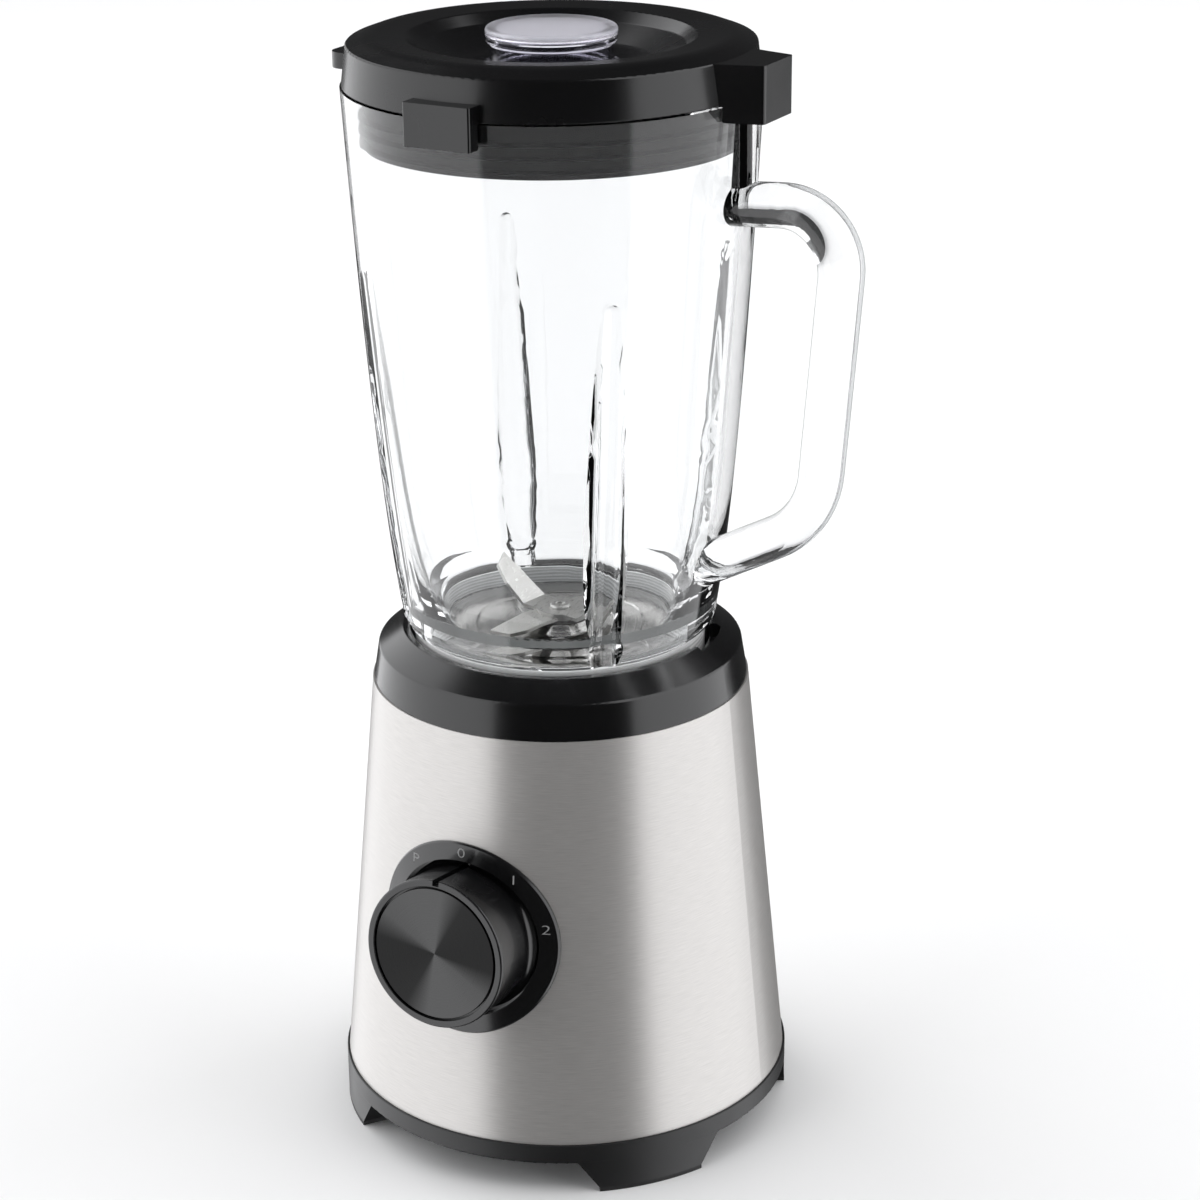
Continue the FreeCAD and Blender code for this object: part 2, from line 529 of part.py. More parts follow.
def bracket(plate_z, wall_low, wall_high, boss_low, boss_high):
    """A motor end bracket: a cross-shaped plate, two side walls and a bearing boss."""
    half = BRACKET_WIDTH / 2
    outer = STACK_X / 2
    plate = block((-outer, outer), (-half, half), (plate_z, plate_z + BRACKET_T))
    ears = block((-7, 7), (-STACK_Y / 2, STACK_Y / 2), (plate_z, plate_z + BRACKET_T))
    walls = []
    for side in (-1, 1):
        near, far = sorted((side * outer, side * (outer - BRACKET_WALL_T)))
        walls.append(block((near, far), (-half, half), (wall_low, wall_high)))
    boss = cylinder(BEARING_R + 3.0, boss_low, boss_high)
    return plate.fuse([ears, boss] + walls)


def upper_bracket():
    top = UPPER_BRACKET_Z + BRACKET_T
    body = bracket(UPPER_BRACKET_Z, STACK_HIGH_Z, UPPER_BRACKET_Z, UPPER_BEARING_Z - 1.5, top)
    holes = [cylinder(BEARING_R, UPPER_BEARING_Z, UPPER_BEARING_Z + BEARING_H)]
    holes.append(cylinder(SHAFT_R + 2.0, 130, 160))
    holes += [cylinder(SCREW_CLEAR_R, 140, 160, at) for at in damper_points()]
    holes += [cylinder(2.0, 140, 160, at) for at in through_bolt_points()]
    return body.cut(holes).removeSplitter()


def lower_bracket():
    top = LOWER_BRACKET_Z + BRACKET_T
    body = bracket(LOWER_BRACKET_Z, LOWER_BRACKET_Z, STACK_LOW_Z, LOWER_BRACKET_Z - 5.5, top)
    holes = [cylinder(BEARING_R, LOWER_BEARING_Z, LOWER_BEARING_Z + BEARING_H)]
    holes.append(cylinder(SHAFT_R + 2.0, 50, 70))
    holes += [cylinder(2.0, 50, 70, at) for at in through_bolt_points()]
    holes.append(block((-STACK_X, STACK_X), (-HOLDER_Y / 2, HOLDER_Y / 2),
                       (BRUSH_Z - HOLDER_H / 2, BRUSH_Z + HOLDER_H / 2)))
    return body.cut(holes).removeSplitter()


def ball_bearing(low):
    """A shielded bearing made as one ring that the shaft runs in, with a groove round each face."""
    high = low + BEARING_H
    bore_r = SHAFT_R + RUNNING_FIT
    inner_race_r, outer_race_r, groove = 6.2, 8.8, 0.6
    return lathe(
        (bore_r, low),
        (inner_race_r, low),
        (inner_race_r, low + groove),
        (outer_race_r, low + groove),
        (outer_race_r, low),
        (BEARING_R, low),
        (BEARING_R, high),
        (outer_race_r, high),
        (outer_race_r, high - groove),
        (inner_race_r, high - groove),
        (inner_race_r, high),
        (bore_r, high),
    )


def upper_bearing():
    return ball_bearing(UPPER_BEARING_Z)


def lower_bearing():
    return ball_bearing(LOWER_BEARING_Z)


def through_bolts():
    """Two long bolts that clamp the brackets to the stack, with a nut on top."""
    solids = []
    for at in through_bolt_points():
        shank = cylinder(2.0, LOWER_BRACKET_Z, UPPER_BRACKET_Z + BRACKET_T + 3.0, at)
        head = cylinder(3.8, LOWER_BRACKET_Z - 2.6, LOWER_BRACKET_Z, at)
        nut_low = UPPER_BRACKET_Z + BRACKET_T
        nut = hexagon(4.0, nut_low, nut_low + 2.8, at)
        solids.append(shank.fuse([head, nut]).removeSplitter())
    return Part.makeCompound(solids)


def hexagon(circle_r, low, high, at=Vector(0, 0, 0)):
    corners = [at + polar(circle_r, 60 * i) for i in range(7)]
    face = Part.Face(Part.makePolygon([Vector(p.x, p.y, low) for p in corners]))
    return face.extrude(Vector(0, 0, high - low))


def dampers():
    """Rubber washers between the upper bracket and the bosses under the seat."""
    low = UPPER_BRACKET_Z + BRACKET_T
    high = WELL_FLOOR_Z - SEAT_FLOOR_T
    return Part.makeCompound([tube(BOSS_R, SCREW_CLEAR_R, low, high, at) for at in damper_points()])


def motor_screws():
    low, high = UPPER_BRACKET_Z, UPPER_BRACKET_Z + 18.0
    return Part.makeCompound([plain_screw(at, low, high) for at in damper_points()])


def brush_holders():
    """Two square brass tubes that guide the carbon brushes through the lower bracket."""
    half_y, half_z = HOLDER_Y / 2, HOLDER_H / 2
    body = block((HOLDER_IN_X, HOLDER_OUT_X), (-half_y, half_y), (BRUSH_Z - half_z, BRUSH_Z + half_z))
    bore = block((HOLDER_IN_X - 1, HOLDER_OUT_X - 1), (-half_y + 1, half_y - 1),
                 (BRUSH_Z - half_z + 1, BRUSH_Z + half_z - 1))
    holder = body.cut(bore)
    return Part.makeCompound(all_round(holder, (0, 180)))


def carbon_brushes():
    """Two carbon blocks with faces hollowed to the commutator."""
    half_y, half_z = HOLDER_Y / 2 - 1.05, HOLDER_H / 2 - 1.05
    body = block((COMMUTATOR_R - 3, BRUSH_END_X), (-half_y, half_y), (BRUSH_Z - half_z, BRUSH_Z + half_z))
    brush = body.cut(cylinder(COMMUTATOR_R + 0.1, 60, 90))
    return Part.makeCompound(all_round(brush, (0, 180)))


def brush_springs():
    spring = coil_spring(2.2, 0.3, 0.1, HOLDER_OUT_X - 1 - BRUSH_END_X - 0.1, 5)
    spring.rotate(Vector(0, 0, 0), Vector(0, 1, 0), 90)
    spring.translate(Vector(BRUSH_END_X, 0, BRUSH_Z))
    return Part.makeCompound(all_round(spring, (0, 180)))


def motor_shaft():
    return lathe(
        (0, FAN_LOW_Z - 3.0),
        (SHAFT_R - 0.5, FAN_LOW_Z - 3.0),
        (SHAFT_R, FAN_LOW_Z - 2.5),
        (SHAFT_R, DRIVE_HIGH_Z - 4.5),
        (SHAFT_R - 0.5, DRIVE_HIGH_Z - 4.0),
        (0, DRIVE_HIGH_Z - 4.0),
    )


def rotor_core():
    """The laminated rotor with its winding slots."""
    core = tube(ROTOR_R, SHAFT_R, STACK_LOW_Z, STACK_HIGH_Z)
    slot = slot_shape(STACK_LOW_Z, STACK_HIGH_Z)
    return core.cut(all_round(slot, [i * 360 / ROTOR_SLOTS for i in range(ROTOR_SLOTS)]))


def slot_shape(low, high):
    round_part = cylinder(SLOT_R, low, high, Vector(0, -SLOT_CIRCLE_R, 0))
    mouth = block((-0.7, 0.7), (-ROTOR_R - 1, -SLOT_CIRCLE_R), (low, high))
    return round_part.fuse(mouth)


def armature_windings():
    """Copper end turns above and below the core, joined by a bar in every slot."""
    inner_r, root_r, tip_r = SHAFT_R + 1.0, 16.8, 15.5
    lower = lathe(
        (inner_r, STACK_LOW_Z - 10, 2.0),
        (tip_r, STACK_LOW_Z - 8, 4.0),
        (root_r, STACK_LOW_Z),
        (inner_r, STACK_LOW_Z),
    )
    upper = lathe(
        (inner_r, STACK_HIGH_Z),
        (root_r, STACK_HIGH_Z),
        (tip_r, STACK_HIGH_Z + 8, 4.0),
        (inner_r, STACK_HIGH_Z + 10, 2.0),
    )
    bar = cylinder(SLOT_R - 0.2, STACK_LOW_Z, STACK_HIGH_Z, Vector(0, -SLOT_CIRCLE_R, 0))
    bars = all_round(bar, [i * 360 / ROTOR_SLOTS for i in range(ROTOR_SLOTS)])
    return lower.fuse([upper] + bars)


def commutator():
    """Copper segments parted by thin slits, with a riser that the winding ends hook on to."""
    riser_r, riser_z = COMMUTATOR_R + 1.8, COMMUTATOR_HIGH_Z - 2.5
    body = lathe(
        (SHAFT_R, COMMUTATOR_LOW_Z),
        (COMMUTATOR_R, COMMUTATOR_LOW_Z, 0.5),
        (COMMUTATOR_R, riser_z),
        (riser_r, riser_z),
        (riser_r, COMMUTATOR_HIGH_Z),
        (SHAFT_R, COMMUTATOR_HIGH_Z),
    )
    segments = 2 * ROTOR_SLOTS
    slit_y = (-COMMUTATOR_R - 3, -COMMUTATOR_R + 1.4)
    slit = block((-0.2, 0.2), slit_y, (COMMUTATOR_LOW_Z - 1, COMMUTATOR_HIGH_Z + 1))
    return body.cut(all_round(slit, [i * 360 / segments for i in range(segments)]))


def cooling_fan():
    """A radial fan under the lower bracket: hub, back plate and leaning blades."""
    high = FAN_LOW_Z + FAN_H
    hub = tube(8.0, SHAFT_R, FAN_LOW_Z, high)
    plate = tube(FAN_R, 7.0, high - 1.6, high)
    blade = block((-0.7, 0.7), (-FAN_R + 0.5, -7.0), (FAN_LOW_Z, high - 1.0))
    blade = turned(blade, 18, Vector(0, -7.0, 0))
    blades = all_round(blade, [i * 360 / FAN_BLADES for i in range(FAN_BLADES)])
    return hub.fuse([plate] + blades).removeSplitter()


def shaft_seal():
    return lathe(
        (SHAFT_R + RUNNING_FIT, WELL_FLOOR_Z),
        (9.0, WELL_FLOOR_Z),
        (9.0, WELL_FLOOR_Z + 1.0),
        (SHAFT_R + 1.8, WELL_FLOOR_Z + 2.4),
        (SHAFT_R + RUNNING_FIT, WELL_FLOOR_Z + 2.4),
    )


# ---------------------------------------------------------------- couplings and interlock

def lobes(inner_r, outer_r, width, low, high):
    """Straight-sided teeth standing between two radii."""
    tooth = block((-width / 2, width / 2), (-outer_r, -inner_r), (low, high))
    tooth = tooth.common(cylinder(outer_r, low, high))
    return all_round(tooth, [i * 360 / COUPLING_TEETH for i in range(COUPLING_TEETH)])


def drive_coupling():
    """The toothed wheel on top of the motor shaft."""
    hub = cylinder(DRIVE_ROOT_R, DRIVE_LOW_Z, DRIVE_HIGH_Z)
    bore = cylinder(SHAFT_R, DRIVE_LOW_Z, DRIVE_HIGH_Z - 4.0)
    teeth = lobes(SHAFT_R + 1, DRIVE_TIP_R, 4.4, DRIVE_LOW_Z, DRIVE_HIGH_Z)
    return hub.fuse(teeth).cut(bore).removeSplitter()


def driven_coupling():
    """The cup under the jug whose inner teeth drop between those of the drive coupling."""
    cup = lathe(
        (DRIVEN_BORE_R, DRIVEN_LOW_Z),
        (DRIVEN_R, DRIVEN_LOW_Z, 0.8),
        (DRIVEN_R, DRIVEN_HIGH_Z, 1.0),
        (SPINDLE_R, DRIVEN_HIGH_Z),
        (SPINDLE_R, DRIVEN_WEB_Z),
        (DRIVEN_BORE_R, DRIVEN_WEB_Z, 0.6),
    )
    half_pitch = 180 / COUPLING_TEETH
    teeth = lobes(DRIVEN_TOOTH_R, DRIVEN_BORE_R + 1, 4.0, DRIVEN_LOW_Z + 0.8, DRIVEN_WEB_Z + 0.5)
    return cup.fuse([turned(tooth, half_pitch) for tooth in teeth]).removeSplitter()


def interlock_pin():
    """The spring-loaded pin that the seated jug holds down."""
    at = polar(PIN_CIRCLE_R, PIN_ANGLE)
    stem = cylinder(PIN_R, PIN_LOW_Z, SEAT_FLOOR_Z, at)
    flange = cylinder(PIN_FLANGE_R, PIN_FLANGE_Z, PIN_FLANGE_Z + 1.4, at)
    return stem.fuse(flange).removeSplitter()


def interlock_spring():
    at = polar(PIN_CIRCLE_R, PIN_ANGLE)
    return coil_spring(3.5, 0.35, SENSOR_HIGH_Z, PIN_FLANGE_Z - RUNNING_FIT, 5, at)


def interlock_switch():
    """The microswitch under the pin, with its plunger and two terminals."""
    at = polar(PIN_CIRCLE_R, PIN_ANGLE)
    half_x, half_y = SENSOR_X / 2, SENSOR_Y / 2 - 0.1
    case = block((-half_x, half_x), (-half_y, half_y), (SENSOR_LOW_Z, SENSOR_HIGH_Z))
    button = cylinder(1.6, SENSOR_HIGH_Z - 1, PIN_LOW_Z - 0.3)
    leg = (SENSOR_LOW_Z - 6, SENSOR_LOW_Z + 1)
    terminals = [block((x - 1.4, x + 1.4), (-0.3, 0.3), leg) for x in (-7, 7)]
    solid = turned(case.fuse([button] + terminals).removeSplitter(), PIN_ANGLE)
    solid.translate(at)
    return solid


# ---------------------------------------------------------------- glass jug

def smooth_side(points):
    """A smooth curve in the XZ plane through (radius, z) points."""
    curve = Part.BSplineCurve()
    curve.interpolate([Vector(r, 0, z) for r, z in points])
    return curve.toShape()


def turned_outline(edges):
    """A solid turned about Z from connected edges that start and end on the axis."""
    first, last = edges[0].Vertexes[0].Point, edges[-1].Vertexes[-1].Point
    wire = Part.Wire(edges + [Part.LineSegment(last, first).toShape()])
    return Part.Face(wire).revolve(Vector(0, 0, 0), UP, 360)


def line(start, end):
    return Part.LineSegment(Vector(start[0], 0, start[1]), Vector(end[0], 0, end[1])).toShape()


def arc(start, middle, end):
    a, b, c = (Vector(p[0], 0, p[1]) for p in (start, middle, end))
    return Part.Arc(a, b, c).toShape()


def jug_outside():
    side_low, side_high = JUG_OUTER_SIDE[0], JUG_OUTER_SIDE[-1]
    return turned_outline([
        line((0, JUG_BOTTOM_Z), (JUG_BOTTOM_R, JUG_BOTTOM_Z)),
        arc((JUG_BOTTOM_R, JUG_BOTTOM_Z), (JUG_BOTTOM_R + 2.9, JUG_BOTTOM_Z + 2.9), side_low),
        smooth_side(JUG_OUTER_SIDE),
        line(side_high, (0, JUG_BRIM_Z)),
    ])


def jug_inside():
    """The space inside the jug, from below its neck to above its brim."""
    side_low, side_high = JUG_INNER_SIDE[0], JUG_INNER_SIDE[-1]
    shoulder_z = JUG_BOTTOM_Z + 7.5
    return turned_outline([
        line((0, NECK_BOTTOM_Z - 1), (NECK_BORE_R, NECK_BOTTOM_Z - 1)),
        line((NECK_BORE_R, NECK_BOTTOM_Z - 1), (NECK_BORE_R, shoulder_z)),
        arc((NECK_BORE_R, shoulder_z), (NECK_BORE_R + 1.9, shoulder_z + 2.3), side_low),
        smooth_side(JUG_INNER_SIDE),
        line(side_high, (side_high[0], JUG_BRIM_Z + 1)),
        line((side_high[0], JUG_BRIM_Z + 1), (0, JUG_BRIM_Z + 1)),
    ])


def leaning_cone(low_r, high_r, low_axis, high_axis):
    """A cone between two (radius, z) points on its axis, at the front, with a ball on its upper end."""
    start, end = Vector(0, -low_axis[0], low_axis[1]), Vector(0, -high_axis[0], high_axis[1])
    cone = Part.makeCone(low_r, high_r, start.distanceToPoint(end), start, end - start)
    return cone.fuse(Part.makeSphere(high_r, end))


def flutes(extra_r):
    """The four grooves pressed into the glass, which run out of it to a point at the top."""
    groove = leaning_cone(FLUTE_LOW_R + extra_r, FLUTE_HIGH_R + extra_r, FLUTE_LOW_AXIS, FLUTE_HIGH_AXIS)
    return all_round(groove, FLUTE_ANGLES)


def flute_feet():
    """The drop-shaped hollow that each groove opens into at the jug's foot."""
    at = Vector(0, -FLUTE_FOOT_AT[0], FLUTE_FOOT_AT[1])
    return all_round(Part.makeSphere(FLUTE_FOOT_R, at), FLUTE_ANGLES)


def spout(inset):
    """A pouring lip opposite the handle that widens up to the brim."""
    reach = SPOUT_REACH - SPOUT_R
    low_axis = (reach - 7.0, SPOUT_LOW_Z + inset)
    high_axis = (reach + 0.6, JUG_BRIM_Z + 4)
    lip = leaning_cone(2.5 - inset / 2, SPOUT_R - inset, low_axis, high_axis)
    top = JUG_BRIM_Z + (1 if inset else 0)
    return turned(lip.common(cylinder(100, SPOUT_LOW_Z - 10, top)), -90)


def jug_handle():
    """The glass handle: an oval bar along straight runs and tangent arcs, and its web to the brim."""
    route = Part.Wire(edge_chain(HANDLE_ROUTE, closed=False))
    start = Vector(HANDLE_ROUTE[0][0], 0, HANDLE_ROUTE[0][1])
    along = (Vector(HANDLE_ROUTE[1][0], 0, HANDLE_ROUTE[1][1]) - start).normalize()
    side = Vector(0, 1, 0)
    wide_end = start + side * HANDLE_HALF_WIDTH
    deep_end = start + along.cross(side) * HANDLE_HALF_DEPTH
    oval = Part.Ellipse(wide_end, deep_end, start)
    bar = route.makePipeShell([Part.Wire(oval.toShape())], True, False)
    web = rounded_box((66.0, WEB_REACH), (-WEB_HALF, WEB_HALF), (HANDLE_ROUTE[0][1], WEB_HIGH_Z), 3.5)
    return [bar, web]


def glass_jug():
    neck = cylinder(NECK_OUTER_R, NECK_BOTTOM_Z, JUG_BOTTOM_Z + 1)
    solid = jug_outside().fuse(jug_handle() + [neck, spout(0)])
    solid = solid.cut(flutes(0) + flute_feet())
    space = jug_inside().fuse(spout(SPOUT_WALL)).cut(flutes(FLUTE_WALL))
    return solid.cut(space).removeSplitter()


# ---------------------------------------------------------------- blade unit

def jug_gasket():
    return tube(NECK_OUTER_R - 0.2, NECK_BORE_R + 0.2, FLANGE_Z + FLANGE_T, NECK_BOTTOM_Z)


def blade_holder():
    """The screw ring that clamps the blade unit to the jug's neck, with four keys for the seat."""
    ring = lathe(
        (24.0, HOLDER_LOW_Z, 0.6),
        (HOLDER_R, HOLDER_LOW_Z, 0.8),
        (HOLDER_R, HOLDER_HIGH_Z, 0.8),
        (NECK_OUTER_R + 0.3, HOLDER_HIGH_Z),
        (NECK_OUTER_R + 0.3, FLANGE_Z),
        (24.0, FLANGE_Z),
    )
    key = sector(HOLDER_R - 1.0, SEAT_R + 1.2, HOLDER_LOW_Z, HOLDER_LOW_Z + 8.0, KEY_HALF_ANGLE)
    return ring.fuse(all_round(key, KEY_ANGLES)).removeSplitter()


def blade_base():
    """The disc that closes the jug's neck, with a boss for the spindle's bushes."""
    return lathe(
        (BUSH_R, BOSS_LOW_Z),
        (12.0, BOSS_LOW_Z, 0.8),
        (12.0, FLANGE_Z),
        (NECK_OUTER_R - 0.2, FLANGE_Z),
        (NECK_OUTER_R - 0.2, FLANGE_Z + FLANGE_T),
        (NECK_BORE_R - 0.6, FLANGE_Z + FLANGE_T),
        (NECK_BORE_R - 0.6, NECK_BOTTOM_Z + 0.8, 1.0),
        (33.0, NECK_BOTTOM_Z + 0.8, 0.5),
        (32.0, NECK_BOTTOM_Z + 0.2, 0.5),
        (14.0, NECK_BOTTOM_Z + 0.4, 2.0),
        (10.5, BOSS_HIGH_Z, 0.8),
        (BUSH_R, BOSS_HIGH_Z),
    )


def spindle_bushes():
    inner = SPINDLE_R + RUNNING_FIT
    return Part.makeCompound([tube(BUSH_R, inner, BOSS_LOW_Z, BOSS_LOW_Z + 4.0),
                              tube(BUSH_R, inner, BOSS_HIGH_Z - 4.4, BOSS_HIGH_Z - 0.4)])


def spindle_seal():
    return tube(BUSH_R, SPINDLE_R + RUNNING_FIT, BOSS_LOW_Z + 4.4, BOSS_HIGH_Z - 4.8)


def blade_spindle():
    """The blades' shaft, with a shoulder under them; it ends level with the coupling's web."""
    shoulder_r = 5.6
    return lathe(
        (0, DRIVEN_WEB_Z),
        (SPINDLE_R - 0.4, DRIVEN_WEB_Z),
        (SPINDLE_R, DRIVEN_WEB_Z + 0.4),
        (SPINDLE_R, BOSS_HIGH_Z + 0.4),
        (shoulder_r, BOSS_HIGH_Z + 0.4),
        (shoulder_r, LOWER_BLADE_Z),
        (SPINDLE_R, LOWER_BLADE_Z),
        (SPINDLE_R, LOWER_BLADE_Z + 2 * BLADE_T),
        (0, LOWER_BLADE_Z + 2 * BLADE_T),
    )


def blade(low_z, bend_deg, wing_length, angle):
    """A flat hub with two opposite wings, each bent along a line near the hub."""
    wings = [cylinder(BLADE_HUB_R, low_z, low_z + BLADE_T)]
    middle = Vector(0, 0, low_z + BLADE_T / 2)
    for end in (0, 180):
        root = block((-BLADE_ROOT_HALF, BLADE_ROOT_HALF), (-BEND_R, 0), (low_z, low_z + BLADE_T))
        tip = wing_length
        outline = [(-BLADE_ROOT_HALF, 0), (BLADE_ROOT_HALF, 0), (BLADE_ROOT_HALF - 0.6, 0.45 * tip),
                   (BLADE_ROOT_HALF - 3.4, 0.8 * tip), (-BLADE_ROOT_HALF + 1.0, tip)]
        corners = [Vector(x, -BEND_R - y, low_z) for x, y in outline]
        face = Part.Face(Part.makePolygon(corners + corners[:1]))
        wing = face.extrude(Vector(0, 0, BLADE_T))
        hinge = middle + Vector(0, -BEND_R, 0)
        wing.rotate(hinge, Vector(1, 0, 0), -bend_deg)
        across = Vector(1, 0, 0)
        bend = Part.makeCylinder(BLADE_T / 2, 2 * BLADE_ROOT_HALF, hinge - across * BLADE_ROOT_HALF, across)
        wings += [turned(part, end) for part in (root, wing, bend)]
    bore = cylinder(SPINDLE_R, low_z - 1, low_z + BLADE_T + 1)
    body = wings[0].fuse(wings[1:]).cut(bore).removeSplitter()
    return turned(body, angle)


def lower_blade():
    return blade(LOWER_BLADE_Z, LOWER_BEND_DEG, LOWER_WING, LOWER_BLADE_ANGLE)


def upper_blade():
    return blade(LOWER_BLADE_Z + BLADE_T, UPPER_BEND_DEG, UPPER_WING, UPPER_BLADE_ANGLE)


def blade_rivet():
    low = LOWER_BLADE_Z + 2 * BLADE_T
    head_r, top, dimple_r, dimple_z = 4.2, low + 1.5, 1.6, low + 0.9
    return lathe(
        (0, low),
        (head_r, low),
        (head_r, top, 1.0),
        (dimple_r, top, 0.3),
        (dimple_r, dimple_z),
        (0, dimple_z),
    )


def spindle_clip():
    """The open retaining ring and washer between the driven coupling and the boss."""
    washer = tube(6.0, SPINDLE_R, DRIVEN_HIGH_Z, DRIVEN_HIGH_Z + 1.0)
    return washer.cut(block((-1.2, 1.2), (-8, 0), (DRIVEN_HIGH_Z, DRIVEN_HIGH_Z + 1.0)))


# ---------------------------------------------------------------- lid and cap

def lid():
    """The black lid: skirt, crowned rim, sunk bowl, cap neck, plug wall, lip, front tab and block."""
    groove_r = PLUG_R + 6.6
    body = lathe(
        (groove_r, LID_SKIRT_Z),
        (LID_SKIRT_R, LID_SKIRT_Z, 0.5),
        (LID_CREASE_R, LID_CREASE_Z, 0.8),
        (63.0, LID_CROWN_Z, 12.0),
        (LID_BOWL_R + 1.0, LID_BOWL_Z + 0.6, 1.2),
        (LID_BOWL_R - 3.0, LID_BOWL_Z - 3.0, 2.0),
        (33.0, BOWL_FLOOR_Z + 0.8, 18.0),
        (CAP_HOLE_R, BOWL_FLOOR_Z, 0.5),
        (CAP_HOLE_R, NECK_TUBE_LOW_Z),
        (CAP_HOLE_R + LID_WALL, NECK_TUBE_LOW_Z),
        (CAP_HOLE_R + LID_WALL, BOWL_FLOOR_Z - LID_WALL),
        (34.0, BOWL_FLOOR_Z - LID_WALL + 0.8, 14.0),
        (LID_BOWL_R - 0.5, LID_BOWL_Z - 3.8),
        (PLUG_R - LID_WALL, LID_CROWN_Z - LID_WALL - 1.0),
        (PLUG_R - LID_WALL, PLUG_LOW_Z),
        (PLUG_R, PLUG_LOW_Z),
        (PLUG_R, LID_CREASE_Z - LID_WALL),
        (groove_r - 1.2, LID_CREASE_Z - LID_WALL - 0.6),
    )
    lip = rounded_box((-LIP_REACH, -66.0), (-LIP_HALF, LIP_HALF), (LID_SKIRT_Z, LIP_HIGH_Z), 6.0)
    tab = rounded_box((-TAB_HALF, TAB_HALF), (-TAB_REACH, -66.0), (TAB_LOW_Z, TAB_HIGH_Z), 0.8)
    half_root, half_end = 16.0, 11.0
    plan = [Vector(x, y, BLOCK_LOW_Z) for x, y in
            ((66.0, -half_root), (BLOCK_REACH, -half_end), (BLOCK_REACH, half_end), (66.0, half_root))]
    cover = Part.Face(Part.makePolygon(plan + plan[:1])).extrude(Vector(0, 0, LID_CREASE_Z - BLOCK_LOW_Z))
    outer_edges = [e for e in cover.Edges if e.BoundBox.XMin > 80 and e.BoundBox.ZLength > 5]
    cover = cover.makeFillet(1.5, outer_edges)
    web_half = WEB_HALF + 1.6
    pocket = block((60.0, WEB_REACH + 2.0), (-web_half, web_half), (BLOCK_LOW_Z - 1, LID_SKIRT_Z))
    clear_of_glass = cylinder(JUG_OUTER_SIDE[-1][0] + 0.5, TAB_LOW_Z - 1, LID_SKIRT_Z)
    clear_of_groove = cylinder(groove_r, LID_SKIRT_Z, LID_CREASE_Z - LID_WALL - 1.0)
    added = lip.fuse([tab, cover]).cut([pocket, clear_of_glass, clear_of_groove])
    inner_space = cylinder(groove_r - 1.2, LID_CREASE_Z - LID_WALL - 1.0, LID_CREASE_Z + 1)
    return body.fuse(added.cut(inner_space)).removeSplitter()


def lid_gasket():
    """A rubber sleeve on the plug wall: a flange over the brim and three sealing fins."""
    sleeve_r = PLUG_R + 1.6
    hem_r, hem_z = PLUG_R - 1.8, PLUG_LOW_Z - 1.4
    corners = [(PLUG_R, PLUG_LOW_Z), (hem_r, PLUG_LOW_Z), (hem_r, hem_z), (sleeve_r, hem_z)]
    for fin_z in (374.0, 378.5, 383.0):
        corners += [(sleeve_r, fin_z - 0.7), (FIN_R, fin_z), (sleeve_r, fin_z + 0.9)]
    flange_low, flange_high = LID_SKIRT_Z + 0.1, LID_SKIRT_Z + 1.9
    corners += [(sleeve_r, flange_low), (PLUG_R + 6.2, flange_low)]
    corners += [(PLUG_R + 6.0, flange_high), (PLUG_R, flange_high)]
    return lathe(*corners)


def measuring_cap():
    """The clear cap: closed top, grooved rim, neck, seat flange, open below."""
    return lathe(
        (0, CAP_TOP_Z),
        (0, CAP_TOP_Z - 2.2),
        (CAP_NECK_R - 2.0, CAP_TOP_Z - 2.2, 1.0),
        (CAP_NECK_R - 2.0, CAP_LOW_Z),
        (CAP_NECK_R, CAP_LOW_Z, 0.6),
        (CAP_NECK_R, CAP_SEAT_Z),
        (CAP_NECK_R + 2.2, CAP_SEAT_Z, 0.5),
        (CAP_NECK_R + 2.2, CAP_SEAT_Z + 1.6, 0.5),
        (CAP_NECK_R, CAP_SEAT_Z + 2.0, 0.5),
        (CAP_NECK_R, CAP_TOP_Z - 5.4, 0.8),
        (CAP_RIM_R - 0.4, CAP_TOP_Z - 5.4, 0.6),
        (CAP_RIM_R - 0.2, CAP_TOP_Z - 3.4),
        (CAP_RIM_R - 0.8, CAP_TOP_Z - 3.1),
        (CAP_RIM_R - 0.1, CAP_TOP_Z - 2.8),
        (CAP_RIM_R, CAP_TOP_Z, 1.2),
    )


# ---------------------------------------------------------------- export

PARTS = (
    steel_shell, top_collar, inner_frame, bottom_cover, rubber_feet, bottom_screws, seat_screws,
    cord_gland, dial_plate, knob_body, knob_disc, switch_shaft, switch_body, switch_screws,
    field_stack, field_coils, upper_bracket, lower_bracket, through_bolts, dampers,
    motor_screws, upper_bearing, lower_bearing, brush_holders, carbon_brushes, brush_springs,
    motor_shaft, rotor_core, armature_windings, commutator, cooling_fan, shaft_seal,
    drive_coupling, driven_coupling, interlock_pin, interlock_spring, interlock_switch,
    glass_jug, jug_gasket, blade_holder, blade_base, spindle_bushes, spindle_seal,
    blade_spindle, lower_blade, upper_blade, blade_rivet, spindle_clip, lid, lid_gasket,
    measuring_cap,
)


def export_parts():
    os.makedirs("parts", exist_ok=True)
    for make in PARTS:
        shape = make()
        shape.translate(Vector(AXIS_X, AXIS_Y, 0))
        shape.exportStep("parts/" + make.__name__ + ".step")
        print(make.__name__, len(shape.Solids), "solids", round(shape.Volume / 1000, 2), "cm3")


export_parts()
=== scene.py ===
import json
import math
import bpy
import bmesh
from mathutils import Matrix, Vector
from mathutils.bvhtree import BVHTree


